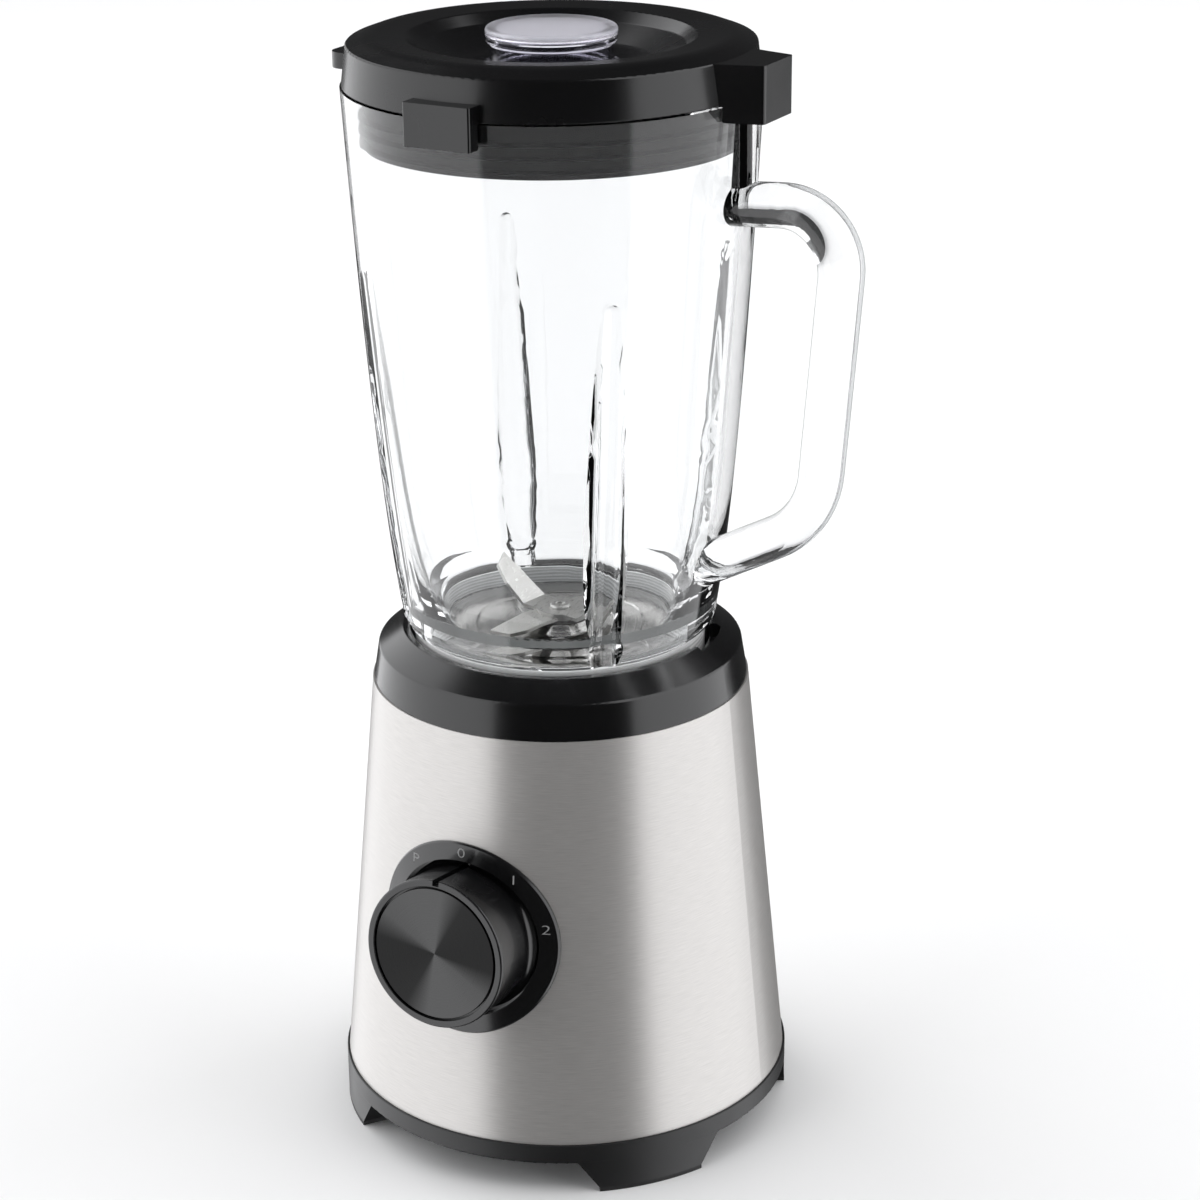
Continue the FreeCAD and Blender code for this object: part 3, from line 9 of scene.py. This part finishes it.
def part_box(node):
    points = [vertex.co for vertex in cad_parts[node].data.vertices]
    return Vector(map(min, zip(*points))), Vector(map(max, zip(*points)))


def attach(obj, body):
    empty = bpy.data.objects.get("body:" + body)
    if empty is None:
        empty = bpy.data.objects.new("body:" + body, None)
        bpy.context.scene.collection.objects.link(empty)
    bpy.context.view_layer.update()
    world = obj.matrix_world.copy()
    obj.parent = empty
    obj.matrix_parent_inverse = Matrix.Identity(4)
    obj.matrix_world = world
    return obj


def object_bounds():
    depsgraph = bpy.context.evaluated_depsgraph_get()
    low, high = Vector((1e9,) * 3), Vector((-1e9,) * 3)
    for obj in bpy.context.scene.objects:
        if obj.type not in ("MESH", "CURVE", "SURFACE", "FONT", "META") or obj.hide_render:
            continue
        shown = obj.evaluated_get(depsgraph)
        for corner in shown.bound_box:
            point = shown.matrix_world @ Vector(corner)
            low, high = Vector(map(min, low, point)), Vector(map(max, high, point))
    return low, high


# Countertop blender: finishes, printed marks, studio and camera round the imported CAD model. Metres.

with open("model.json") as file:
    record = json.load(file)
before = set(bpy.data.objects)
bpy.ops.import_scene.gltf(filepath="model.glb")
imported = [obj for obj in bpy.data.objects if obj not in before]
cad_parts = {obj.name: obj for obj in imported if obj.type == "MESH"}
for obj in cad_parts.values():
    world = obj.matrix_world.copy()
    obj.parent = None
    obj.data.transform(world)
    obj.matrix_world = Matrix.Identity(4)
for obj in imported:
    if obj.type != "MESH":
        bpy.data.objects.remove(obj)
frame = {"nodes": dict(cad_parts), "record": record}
CAD_LOW, CAD_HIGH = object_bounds()
NODES = frame["nodes"]
JOINTS = {joint["name"]: joint for joint in frame["record"]["behaviour"]["joints"]}
MM = 0.001

# The drive axis, and the dial's centre with its outward, sideways and upward directions.
AXIS = Vector(JOINTS["motor_spin"]["pos_m"])
AXIS.z = 0
DIAL = Vector(JOINTS["knob_turn"]["pos_m"])
DIAL_OUT = -Vector(JOINTS["knob_turn"]["axis"]).normalized()
DIAL_SIDE = Vector((1, 0, 0))
DIAL_UP = DIAL_OUT.cross(DIAL_SIDE).normalized()

# Camera, placed about the drive axis.
CAMERA_OFFSET = Vector((0.5115, -0.9153, 0.6017))
CAMERA_TURN, CAMERA_DOWN, CAMERA_ROLL = 28.393, 21.01, -0.557
LENS_MM, SENSOR_MM = 91.8, 36.0
CLIP_START, CLIP_END = 0.05, 50.0


# ---------------------------------------------------------------- shader helpers

# The share of a full turn that sets the stretch across the grain, not along it.
QUARTER_TURN = 0.25

class Finish:
    """A material under construction: its tree, its Principled shader and short ways to add nodes."""

    def __init__(self, name, colour, roughness, metallic=0.0):
        self.material = bpy.data.materials.new(name)
        self.material.use_nodes = True
        self.tree = self.material.node_tree
        self.shader = self.tree.nodes["Principled BSDF"]
        self.colour = colour
        self.set("Base Color", (*colour, 1))
        self.set("Roughness", roughness)
        self.set("Metallic", metallic)

    def set(self, socket, value):
        self.shader.inputs[socket].default_value = value

    def node(self, kind, **settings):
        made = self.tree.nodes.new("ShaderNode" + kind)
        for key, value in settings.items():
            setattr(made, key, value)
        return made

    def join(self, source, target):
        self.tree.links.new(source, target)

    def math(self, operation, first, second=0.0):
        made = self.node("Math", operation=operation)
        for socket, value in zip(made.inputs, (first, second)):
            if isinstance(value, (int, float)):
                socket.default_value = value
            else:
                self.join(value, socket)
        return made.outputs[0]

    def place(self):
        """Object coordinates, which are the frame's own metres on every CAD node."""
        return self.node("TexCoord").outputs["Object"]

    def split(self, vector=None):
        parts = self.node("SeparateXYZ")
        self.join(vector or self.place(), parts.inputs[0])
        return parts.outputs

    def stretched(self, scale):
        """Object coordinates multiplied by a scale for each direction."""
        mapping = self.node("Mapping")
        mapping.inputs["Scale"].default_value = scale
        self.join(self.place(), mapping.inputs["Vector"])
        return mapping.outputs[0]

    def noise(self, vector, scale=1.0, detail=4.0, roughness=0.55):
        made = self.node("TexNoise")
        made.inputs["Scale"].default_value = scale
        made.inputs["Detail"].default_value = detail
        made.inputs["Roughness"].default_value = roughness
        self.join(vector, made.inputs["Vector"])
        return made.outputs["Fac"]

    def spread(self, factor, low, high, start=0.3, end=0.7):
        """A factor remapped to run from low to high."""
        made = self.node("MapRange")
        for key, value in (("From Min", start), ("From Max", end), ("To Min", low), ("To Max", high)):
            made.inputs[key].default_value = value
        self.join(factor, made.inputs["Value"])
        return made.outputs[0]

    def vary_colour(self, factor, amount):
        """Lets the base colour go lighter and darker by a share."""
        ramp = self.node("ValToRGB")
        for stop, side in zip(ramp.color_ramp.elements, (-1, 1)):
            stop.color = (*(min(1.0, c * (1 + side * amount)) for c in self.colour), 1)
        ramp.color_ramp.elements[0].position = 0.3
        ramp.color_ramp.elements[1].position = 0.7
        self.join(factor, ramp.inputs[0])
        self.join(ramp.outputs[0], self.shader.inputs["Base Color"])

    def vary_roughness(self, factor, low, high):
        self.join(self.spread(factor, low, high), self.shader.inputs["Roughness"])

    def bump(self, height, strength, depth):
        made = self.node("Bump")
        made.inputs["Strength"].default_value = strength
        made.inputs["Distance"].default_value = depth
        self.join(height, made.inputs["Height"])
        self.join(made.outputs[0], self.shader.inputs["Normal"])

    def grain_round(self, centre, turns, per_metre):
        """Streaks that run round an upright axis: slow along the angle, fast along the height."""
        x, y, z = self.split()
        angle = self.math("ARCTAN2", self.math("SUBTRACT", y, centre.y), self.math("SUBTRACT", x, centre.x))
        streak = self.node("CombineXYZ")
        self.join(self.math("MULTIPLY", angle, turns), streak.inputs[0])
        self.join(self.math("MULTIPLY", z, per_metre), streak.inputs[1])
        return streak.outputs[0]

    def in_plane(self, centre, side, up):
        """How far a point lies from a centre along each of two directions."""
        offset = self.node("VectorMath", operation="SUBTRACT")
        self.join(self.place(), offset.inputs[0])
        offset.inputs[1].default_value = centre
        distances = []
        for direction in (side, up):
            along = self.node("VectorMath", operation="DOT_PRODUCT")
            self.join(offset.outputs[0], along.inputs[0])
            along.inputs[1].default_value = direction
            distances.append(along.outputs["Value"])
        return distances

    def clock_angle(self, centre, side, up):
        """The angle about a centre, from up and growing towards the side."""
        return self.math("ARCTAN2", *self.in_plane(centre, side, up))

    def rings(self, centre, side, up, per_metre):
        """Fine rings about a centre, in the plane of two directions."""
        squares = [self.math("POWER", distance, 2.0) for distance in self.in_plane(centre, side, up)]
        radius = self.math("SQRT", self.math("ADD", *squares))
        streak = self.node("CombineXYZ")
        self.join(self.math("MULTIPLY", radius, per_metre), streak.inputs[0])
        return streak.outputs[0]

    def turn_grain(self, axis, amount):
        """Stretches highlights across grain that runs round an axis of the node's own box."""
        tangent = self.node("Tangent", direction_type="RADIAL", axis=axis)
        self.set("Anisotropic", amount)
        self.set("Anisotropic Rotation", QUARTER_TURN)
        self.join(tangent.outputs[0], self.shader.inputs["Tangent"])


# ---------------------------------------------------------------- finishes

def shell_steel():
    finish = Finish("shell_steel", (0.56, 0.545, 0.53), 0.36, 0.6)
    fine = finish.noise(finish.grain_round(AXIS, 9.0, 3000), detail=6.0, roughness=0.65)
    finish.vary_colour(fine, 0.10)
    finish.vary_roughness(fine, 0.32, 0.44)
    finish.bump(fine, 0.22, 0.00004)
    finish.turn_grain("Z", 0.6)
    return finish.material


def moulding(name, colour, roughness, texture_per_metre, depth, coat=0.0):
    """Moulded plastic: a fine even texture, a slow wander in gloss and a hint of colour."""
    finish = Finish(name, colour, roughness)
    fine = finish.noise(finish.place(), texture_per_metre, detail=2.0)
    slow = finish.noise(finish.place(), 34.0, detail=3.0)
    finish.vary_colour(slow, 0.16)
    finish.vary_roughness(slow, roughness * 0.86, roughness * 1.16)
    finish.bump(fine, 0.25, depth)
    finish.set("Coat Weight", coat)
    finish.set("Coat Roughness", 0.08)
    finish.set("IOR", 1.52)
    return finish.material


def rubber(name, colour, roughness=0.72, specular=0.5):
    finish = Finish(name, colour, roughness)
    finish.vary_colour(finish.noise(finish.place(), 60.0), 0.2)
    finish.vary_roughness(finish.noise(finish.place(), 240.0), roughness - 0.08, roughness + 0.06)
    finish.set("Specular IOR Level", specular)
    finish.bump(finish.noise(finish.place(), 2600.0, detail=2.0), 0.35, 0.00006)
    return finish.material


def metal(name, colour, roughness, per_metre=(900.0, 900.0, 900.0), amount=0.06, depth=0.00003):
    """Bare or plated metal with marks whose direction comes from the scales."""
    finish = Finish(name, colour, roughness, 1.0)
    marks = finish.noise(finish.stretched(per_metre), detail=5.0)
    finish.vary_colour(finish.noise(finish.place(), 45.0), amount)
    finish.vary_roughness(marks, roughness * 0.75, roughness * 1.3)
    finish.bump(marks, 0.2, depth)
    return finish.material


def layered(name, colour, roughness, layers_per_metre, metallic):
    """Stacked sheets or wound wire: even lines across the height."""
    finish = Finish(name, colour, roughness, metallic)
    z = finish.split()[2]
    wave = finish.math("SINE", finish.math("MULTIPLY", z, 2 * math.pi * layers_per_metre))
    lines = finish.spread(wave, 0.0, 1.0, -1.0, 1.0)
    finish.vary_colour(lines, 0.22)
    finish.vary_roughness(finish.noise(finish.place(), 90.0), roughness * 0.85, roughness * 1.2)
    finish.bump(lines, 0.5, 0.0001)
    return finish.material


# Painted highlight and shade of the spun disc: grey of the dark wedges, grey of the pale wedges, the blend
# between them, and the clock angle of the pale pair.
PAINTED_SHADE_GREY, PAINTED_HIGHLIGHT_GREY, PAINTED_HIGHLIGHT_BLEND = 0.022, 0.072, 0.4
PAINTED_HIGHLIGHT_DEG = -28.0


def spun_disc():
    """Dark metal turned in rings, with two pale wedges of painted highlight and two dark wedges of painted
    shade in its colour, set by the angle about the dial.
    """
    finish = Finish("spun_disc", (PAINTED_HIGHLIGHT_GREY, PAINTED_HIGHLIGHT_GREY, PAINTED_HIGHLIGHT_GREY), 0.30, 1.0)
    rings = finish.noise(finish.rings(DIAL, DIAL_SIDE, DIAL_UP, 5200), detail=5.0)
    clock = finish.clock_angle(DIAL, DIAL_SIDE, DIAL_UP)
    # Painted highlight and painted shade: the grey follows the angle about the dial and turns with the
    # knob, not with the light; the rings only add a small real variation.
    twice = finish.math("MULTIPLY", finish.math("SUBTRACT", clock, math.radians(PAINTED_HIGHLIGHT_DEG)), 2.0)
    painted_highlight = finish.spread(finish.math("COSINE", twice), PAINTED_SHADE_GREY, PAINTED_HIGHLIGHT_GREY, -PAINTED_HIGHLIGHT_BLEND, PAINTED_HIGHLIGHT_BLEND)
    painted_highlight_and_rings = finish.math("MULTIPLY", painted_highlight, finish.spread(rings, 0.85, 1.15))
    grey = finish.node("CombineXYZ")
    for socket in grey.inputs:
        finish.join(painted_highlight_and_rings, socket)
    finish.join(grey.outputs[0], finish.shader.inputs["Base Color"])
    finish.vary_roughness(rings, 0.24, 0.36)
    finish.bump(rings, 0.3, 0.00003)
    finish.turn_grain("Y", 0.9)
    return finish.material


def base_disc_steel():
    finish = Finish("base_disc_steel", (0.40, 0.395, 0.385), 0.16, 1.0)
    rings = finish.noise(finish.rings(AXIS, Vector((1, 0, 0)), Vector((0, 1, 0)), 900), detail=3.0)
    finish.vary_colour(rings, 0.16)
    finish.vary_roughness(rings, 0.10, 0.22)
    finish.bump(rings, 0.35, 0.0002)
    finish.turn_grain("Z", 0.35)
    return finish.material


def let_lamps_through(finish, tint):
    """Clear walls cast a pale shadow, not a black one."""
    through = finish.node("BsdfTransparent")
    through.inputs[0].default_value = (*tint, 1)
    path = finish.node("LightPath")
    either = finish.node("MixShader")
    finish.join(path.outputs["Is Shadow Ray"], either.inputs[0])
    finish.join(finish.shader.outputs[0], either.inputs[1])
    finish.join(through.outputs[0], either.inputs[2])
    finish.join(either.outputs[0], finish.tree.nodes["Material Output"].inputs["Surface"])


def jug_glass():
    finish = Finish("jug_glass", (0.962, 0.968, 0.972), 0.0)
    finish.set("Transmission Weight", 1.0)
    finish.set("IOR", 1.5)
    wander = finish.noise(finish.stretched((20.0, 20.0, 7.0)), 1.0, detail=1.0)
    finish.bump(wander, 0.06, 0.0012)
    let_lamps_through(finish, (0.93, 0.94, 0.94))
    return finish.material


FROST_START, FROST_FULL = 2.4 * MM, 0.2 * MM     # below the cap's top


def cap_clear():
    """Clear plastic with a violet cast; the closed top is frosted."""
    finish = Finish("cap_clear", (0.90, 0.89, 0.965), 0.06)
    finish.set("Transmission Weight", 1.0)
    finish.set("IOR", 1.49)
    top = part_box("measuring_cap")[1].z
    z = finish.split()[2]
    frost = finish.spread(z, 0.05, 0.55, top - FROST_START, top - FROST_FULL)
    finish.join(frost, finish.shader.inputs["Roughness"])
    finish.bump(finish.noise(finish.place(), 1500.0, detail=2.0), 0.12, 0.00003)
    let_lamps_through(finish, (0.88, 0.87, 0.93))
    return finish.material


MATERIALS = {
    "shell_steel": shell_steel(),
    "black_gloss": moulding("black_gloss", (0.0025, 0.0025, 0.0028), 0.22, 1500.0, 0.00003, coat=0.25),
    "lid_plastic": moulding("lid_plastic", (0.003, 0.003, 0.0034), 0.25, 1900.0, 0.00003, coat=0.12),
    "dial_gloss": moulding("dial_gloss", (0.004, 0.004, 0.0044), 0.18, 1200.0, 0.00001, coat=0.5),
    "knob_plastic": moulding("knob_plastic", (0.006, 0.006, 0.0065), 0.24, 1500.0, 0.00002, coat=0.3),
    "black_satin": moulding("black_satin", (0.009, 0.009, 0.0095), 0.42, 2300.0, 0.00006),
    "frame_plastic": moulding("frame_plastic", (0.09, 0.09, 0.10), 0.5, 1600.0, 0.00005),
    "coupling_nylon": moulding("coupling_nylon", (0.028, 0.028, 0.03), 0.46, 1400.0, 0.00005),
    "dial_print": moulding("dial_print", (0.34, 0.34, 0.34), 0.55, 2500.0, 0.00001),
    "spun_disc": spun_disc(),
    "black_rubber": rubber("black_rubber", (0.016, 0.016, 0.016)),
    "gasket_rubber": rubber("gasket_rubber", (0.003, 0.003, 0.0033), 0.4, specular=0.12),
    "seal_silicone": rubber("seal_silicone", (0.5, 0.5, 0.5), 0.5),
    "zinc_steel": metal("zinc_steel", (0.62, 0.62, 0.63), 0.3),
    "cast_aluminium": metal("cast_aluminium", (0.58, 0.59, 0.60), 0.45, (600.0,) * 3, 0.08, 0.00012),
    "brass": metal("brass", (0.74, 0.56, 0.26), 0.3),
    "blade_steel": metal("blade_steel", (0.50, 0.495, 0.48), 0.32, (2600.0, 260.0, 2600.0), 0.04),
    "base_disc_steel": base_disc_steel(),
    "holder_grey": layered("holder_grey", (0.62, 0.62, 0.62), 0.35, 650.0, 0.0),
    "lamination": layered("lamination", (0.17, 0.17, 0.18), 0.45, 2000.0, 0.8),
    "copper": layered("copper", (0.62, 0.27, 0.11), 0.3, 1400.0, 0.9),
    "carbon": rubber("carbon", (0.04, 0.04, 0.042), 0.62),
    "jug_glass": jug_glass(),
    "cap_clear": cap_clear(),
}


def finish_cad_nodes():
    """Gives each CAD node the finish of its slot in the record."""
    for subpart in frame["record"]["subparts"]:
        for holder in NODES[subpart["node"]].material_slots:
            holder.material = MATERIALS[subpart["material_slot"]]


# ---------------------------------------------------------------- printed and pressed marks

def surface_of(node):
    """A CAD node's surface, for finding where a mark meets it."""
    mesh = NODES[node].data
    return BVHTree.FromPolygons([v.co for v in mesh.vertices], [p.vertices for p in mesh.polygons])


def add_piece(name, mesh, slot_name, body):
    piece = bpy.data.objects.new(name, mesh)
    bpy.context.scene.collection.objects.link(piece)
    mesh.materials.append(MATERIALS[slot_name])
    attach(piece, body)
    return piece


STROKE_THINNING, GLYPH_WIDENING = 0.016, 1.35
CAPITAL_SHARE = 0.7     # a capital's height as a share of the font's size


def glyph_mesh(text, height, thickness):
    """A character as a thin closed mesh, centred on its own origin in the XY plane."""
    curve = bpy.data.curves.new("glyph", "FONT")
    curve.body = text
    curve.size = height / CAPITAL_SHARE
    curve.extrude = thickness / 2
    curve.offset = -STROKE_THINNING * curve.size
    curve.resolution_u = 6
    holder = bpy.data.objects.new("glyph", curve)
    bpy.context.scene.collection.objects.link(holder)
    bpy.context.view_layer.update()
    mesh = bpy.data.meshes.new_from_object(holder.evaluated_get(bpy.context.evaluated_depsgraph_get()))
    bpy.data.objects.remove(holder)
    xs = [v.co.x for v in mesh.vertices]
    ys = [v.co.y for v in mesh.vertices]
    middle = Vector(((min(xs) + max(xs)) / 2, (min(ys) + max(ys)) / 2, 0))
    mesh.transform(Matrix.Diagonal((GLYPH_WIDENING, 1, 1, 1)) @ Matrix.Translation(-middle))
    return mesh


MARK_RADIUS, MARK_HEIGHT, MARK_THICKNESS = 32.6 * MM, 3.6 * MM, 0.06 * MM
# The scale's marks stand where the knob stops: pulse, off, and two even steps.
PULSE_DEG, FAST_DEG = JOINTS["knob_turn"]["range_deg"]
DIAL_MARKS = (("P", PULSE_DEG), ("0", 0), ("1", FAST_DEG / 2), ("2", FAST_DEG))


# Marks drop on to the part from this far out, which is past the knob's face.
DROP_START = 30.0 * MM


def lay_on_dial(mesh, surface):
    """Drops a mesh from in front of the dial on to a surface behind it, along the dial's axis."""
    for vertex in mesh.vertices:
        flat = DIAL + DIAL_SIDE * vertex.co.x + DIAL_UP * vertex.co.y
        hit = surface.ray_cast(flat + DIAL_OUT * DROP_START, -DIAL_OUT)[0]
        vertex.co = hit + DIAL_OUT * (vertex.co.z + MARK_THICKNESS / 4)


def dial_marks():
    """The four characters of the dial's scale, upright and read clockwise."""
    plate = surface_of("dial_plate")
    for index, (text, angle_deg) in enumerate(DIAL_MARKS):
        mesh = glyph_mesh(text, MARK_HEIGHT, MARK_THICKNESS)
        angle = math.radians(angle_deg)
        centre = Vector((MARK_RADIUS * math.sin(angle), MARK_RADIUS * math.cos(angle), 0))
        mesh.transform(Matrix.Translation(centre))
        lay_on_dial(mesh, plate)
        add_piece(f"dial_mark_{index}", mesh, "dial_print", "base")


def bar_mesh(name, width, height, thickness, cuts=8):
    """A thin bar with rounded ends in short steps, centred on its origin."""
    half = width / 2 - height / 2
    outline = []
    for side in (1, -1):
        for step in range(cuts + 1):
            angle = math.pi * step / cuts - math.pi / 2 + (0 if side > 0 else math.pi)
            outline.append((side * half + height / 2 * math.cos(angle), height / 2 * math.sin(angle)))
    shape = bmesh.new()
    low = [shape.verts.new((x, y, -thickness / 2)) for x, y in outline]
    high = [shape.verts.new((x, y, thickness / 2)) for x, y in outline]
    shape.faces.new(reversed(low))
    shape.faces.new(high)
    for i, vertex in enumerate(low):
        following = (i + 1) % len(low)
        shape.faces.new((vertex, low[following], high[following], high[i]))
    mesh = bpy.data.meshes.new(name)
    shape.to_mesh(mesh)
    shape.free()
    return mesh


POINTER_LENGTH, POINTER_WIDTH, POINTER_RADIUS = 2.2 * MM, 0.7 * MM, 27.0 * MM


def knob_marks():
    """A pale line on the pointer at the knob's edge; it turns with the knob."""
    mesh = bar_mesh("knob_mark", POINTER_LENGTH, POINTER_WIDTH, MARK_THICKNESS)
    mesh.transform(Matrix.Rotation(math.radians(90), 4, "Z"))
    mesh.transform(Matrix.Translation((0, POINTER_RADIUS, 0)))
    lay_on_dial(mesh, surface_of("knob_body"))
    add_piece("knob_mark", mesh, "dial_print", "knob")


# ---------------------------------------------------------------- studio and camera

FLOOR_HALF, FLOOR_GAP = 9.0, 0.05 * MM


def floor_material():
    finish = Finish("studio_floor", (0.90, 0.90, 0.90), 0.8)
    finish.vary_colour(finish.noise(finish.place(), 3.0), 0.004)
    finish.set("Specular IOR Level", 0.1)
    return finish.material


def studio_floor():
    shape = bmesh.new()
    bmesh.ops.create_grid(shape, x_segments=4, y_segments=4, size=FLOOR_HALF)
    mesh = bpy.data.meshes.new("studio_floor")
    shape.to_mesh(mesh)
    shape.free()
    floor = bpy.data.objects.new("studio_floor", mesh)
    floor.location = (0, 0, CAD_LOW.z - FLOOR_GAP)
    mesh.materials.append(floor_material())
    bpy.context.scene.collection.objects.link(floor)
    floor.visible_glossy = False


def softbox(name, azimuth_deg, elevation_deg, distance, size, power):
    """A soft lamp that looks at the middle of the object; azimuth 0 is in front of the dial."""
    azimuth, elevation = math.radians(azimuth_deg), math.radians(elevation_deg)
    target = AXIS + Vector((0, 0, (CAD_LOW.z + CAD_HIGH.z) / 2))
    away = Vector((
        math.sin(azimuth) * math.cos(elevation),
        -math.cos(azimuth) * math.cos(elevation),
        math.sin(elevation),
    ))
    lamp = bpy.data.lights.new(name, "AREA")
    lamp.shape = "RECTANGLE"
    lamp.size, lamp.size_y = size
    lamp.energy = power
    holder = bpy.data.objects.new(name, lamp)
    holder.location = target + away * distance
    holder.rotation_euler = (-away).to_track_quat("-Z", "Y").to_euler()
    bpy.context.scene.collection.objects.link(holder)
    return holder


# Two tall pale walls stand at the sides of a dim room: azimuth of the middle, half width, radiance.
WALLS = ((-68.0, 57.0, 1.68), (112.5, 40.5, 1.75))
WALL_EDGE, WALL_TOP, WALL_FADE = 2.5, 0.72, 0.15
ROOM_RADIANCE, ROOM_TINT = 0.05, (0.98, 0.985, 1.0)
CEILING_TURN, CEILING_HEIGHT, CEILING_AWAY = 209, 74, 2.3
CEILING_SIZE, CEILING_POWER = (5.0, 5.0), 85.0


def map_range(tree, value, start, end, low, high):
    made = tree.nodes.new("ShaderNodeMapRange")
    made.interpolation_type = "SMOOTHSTEP"
    for key, number in (("From Min", start), ("From Max", end), ("To Min", low), ("To Max", high)):
        made.inputs[key].default_value = number
    tree.links.new(value, made.inputs["Value"])
    return made.outputs[0]


def world_math(tree, operation, first, second):
    made = tree.nodes.new("ShaderNodeMath")
    made.operation = operation
    for socket, value in zip(made.inputs, (first, second)):
        if isinstance(value, (int, float)):
            socket.default_value = value
        else:
            tree.links.new(value, socket)
    return made.outputs[0]


def studio_world():
    """The room's light by direction: azimuth 0 is in front of the dial and 90 is towards +X."""
    world = bpy.data.worlds.new("studio")
    world.use_nodes = True
    tree = world.node_tree
    parts = tree.nodes.new("ShaderNodeSeparateXYZ")
    tree.links.new(tree.nodes.new("ShaderNodeTexCoord").outputs["Generated"], parts.inputs[0])
    towards_front = world_math(tree, "MULTIPLY", parts.outputs[1], -1.0)
    azimuth = world_math(tree, "ARCTAN2", parts.outputs[0], towards_front)
    height = world_math(tree, "ABSOLUTE", parts.outputs[2], 0.0)
    below_top = map_range(tree, height, WALL_TOP, WALL_TOP + WALL_FADE, 1.0, 0.0)
    light = 0.0
    for middle, half, radiance in WALLS:
        offset = world_math(tree, "SUBTRACT", azimuth, math.radians(middle))
        distance = world_math(tree, "ABSOLUTE", offset, 0.0)
        inner, outer = math.radians(half - WALL_EDGE), math.radians(half + WALL_EDGE)
        wall = map_range(tree, distance, inner, outer, radiance, 0.0)
        light = world_math(tree, "ADD", wall, light)
    strength = world_math(tree, "ADD", world_math(tree, "MULTIPLY", light, below_top), ROOM_RADIANCE)
    background = tree.nodes["Background"]
    background.inputs["Color"].default_value = (*ROOM_TINT, 1)
    tree.links.new(strength, background.inputs["Strength"])
    bpy.context.scene.world = world


def studio():
    studio_floor()
    studio_world()
    ceiling = softbox(
        "softbox_ceiling", CEILING_TURN, CEILING_HEIGHT, CEILING_AWAY, CEILING_SIZE, CEILING_POWER
    )
    ceiling.visible_glossy = False
    scene = bpy.context.scene
    scene.view_settings.view_transform = "Standard"


def photo_camera():
    data = bpy.data.cameras.new("camera")
    data.lens = LENS_MM
    data.sensor_width = SENSOR_MM
    data.clip_start, data.clip_end = CLIP_START, CLIP_END
    camera = bpy.data.objects.new("camera", data)
    turn = Matrix.Rotation(math.radians(CAMERA_TURN), 4, "Z")
    tilt = Matrix.Rotation(math.radians(90 - CAMERA_DOWN), 4, "X")
    roll = Matrix.Rotation(math.radians(CAMERA_ROLL), 4, "Z")
    camera.matrix_world = Matrix.Translation(AXIS + CAMERA_OFFSET) @ turn @ tilt @ roll
    bpy.context.scene.collection.objects.link(camera)
    bpy.context.scene.camera = camera


# ---------------------------------------------------------------- build

photo_camera()
studio()
finish_cad_nodes()
dial_marks()
knob_marks()
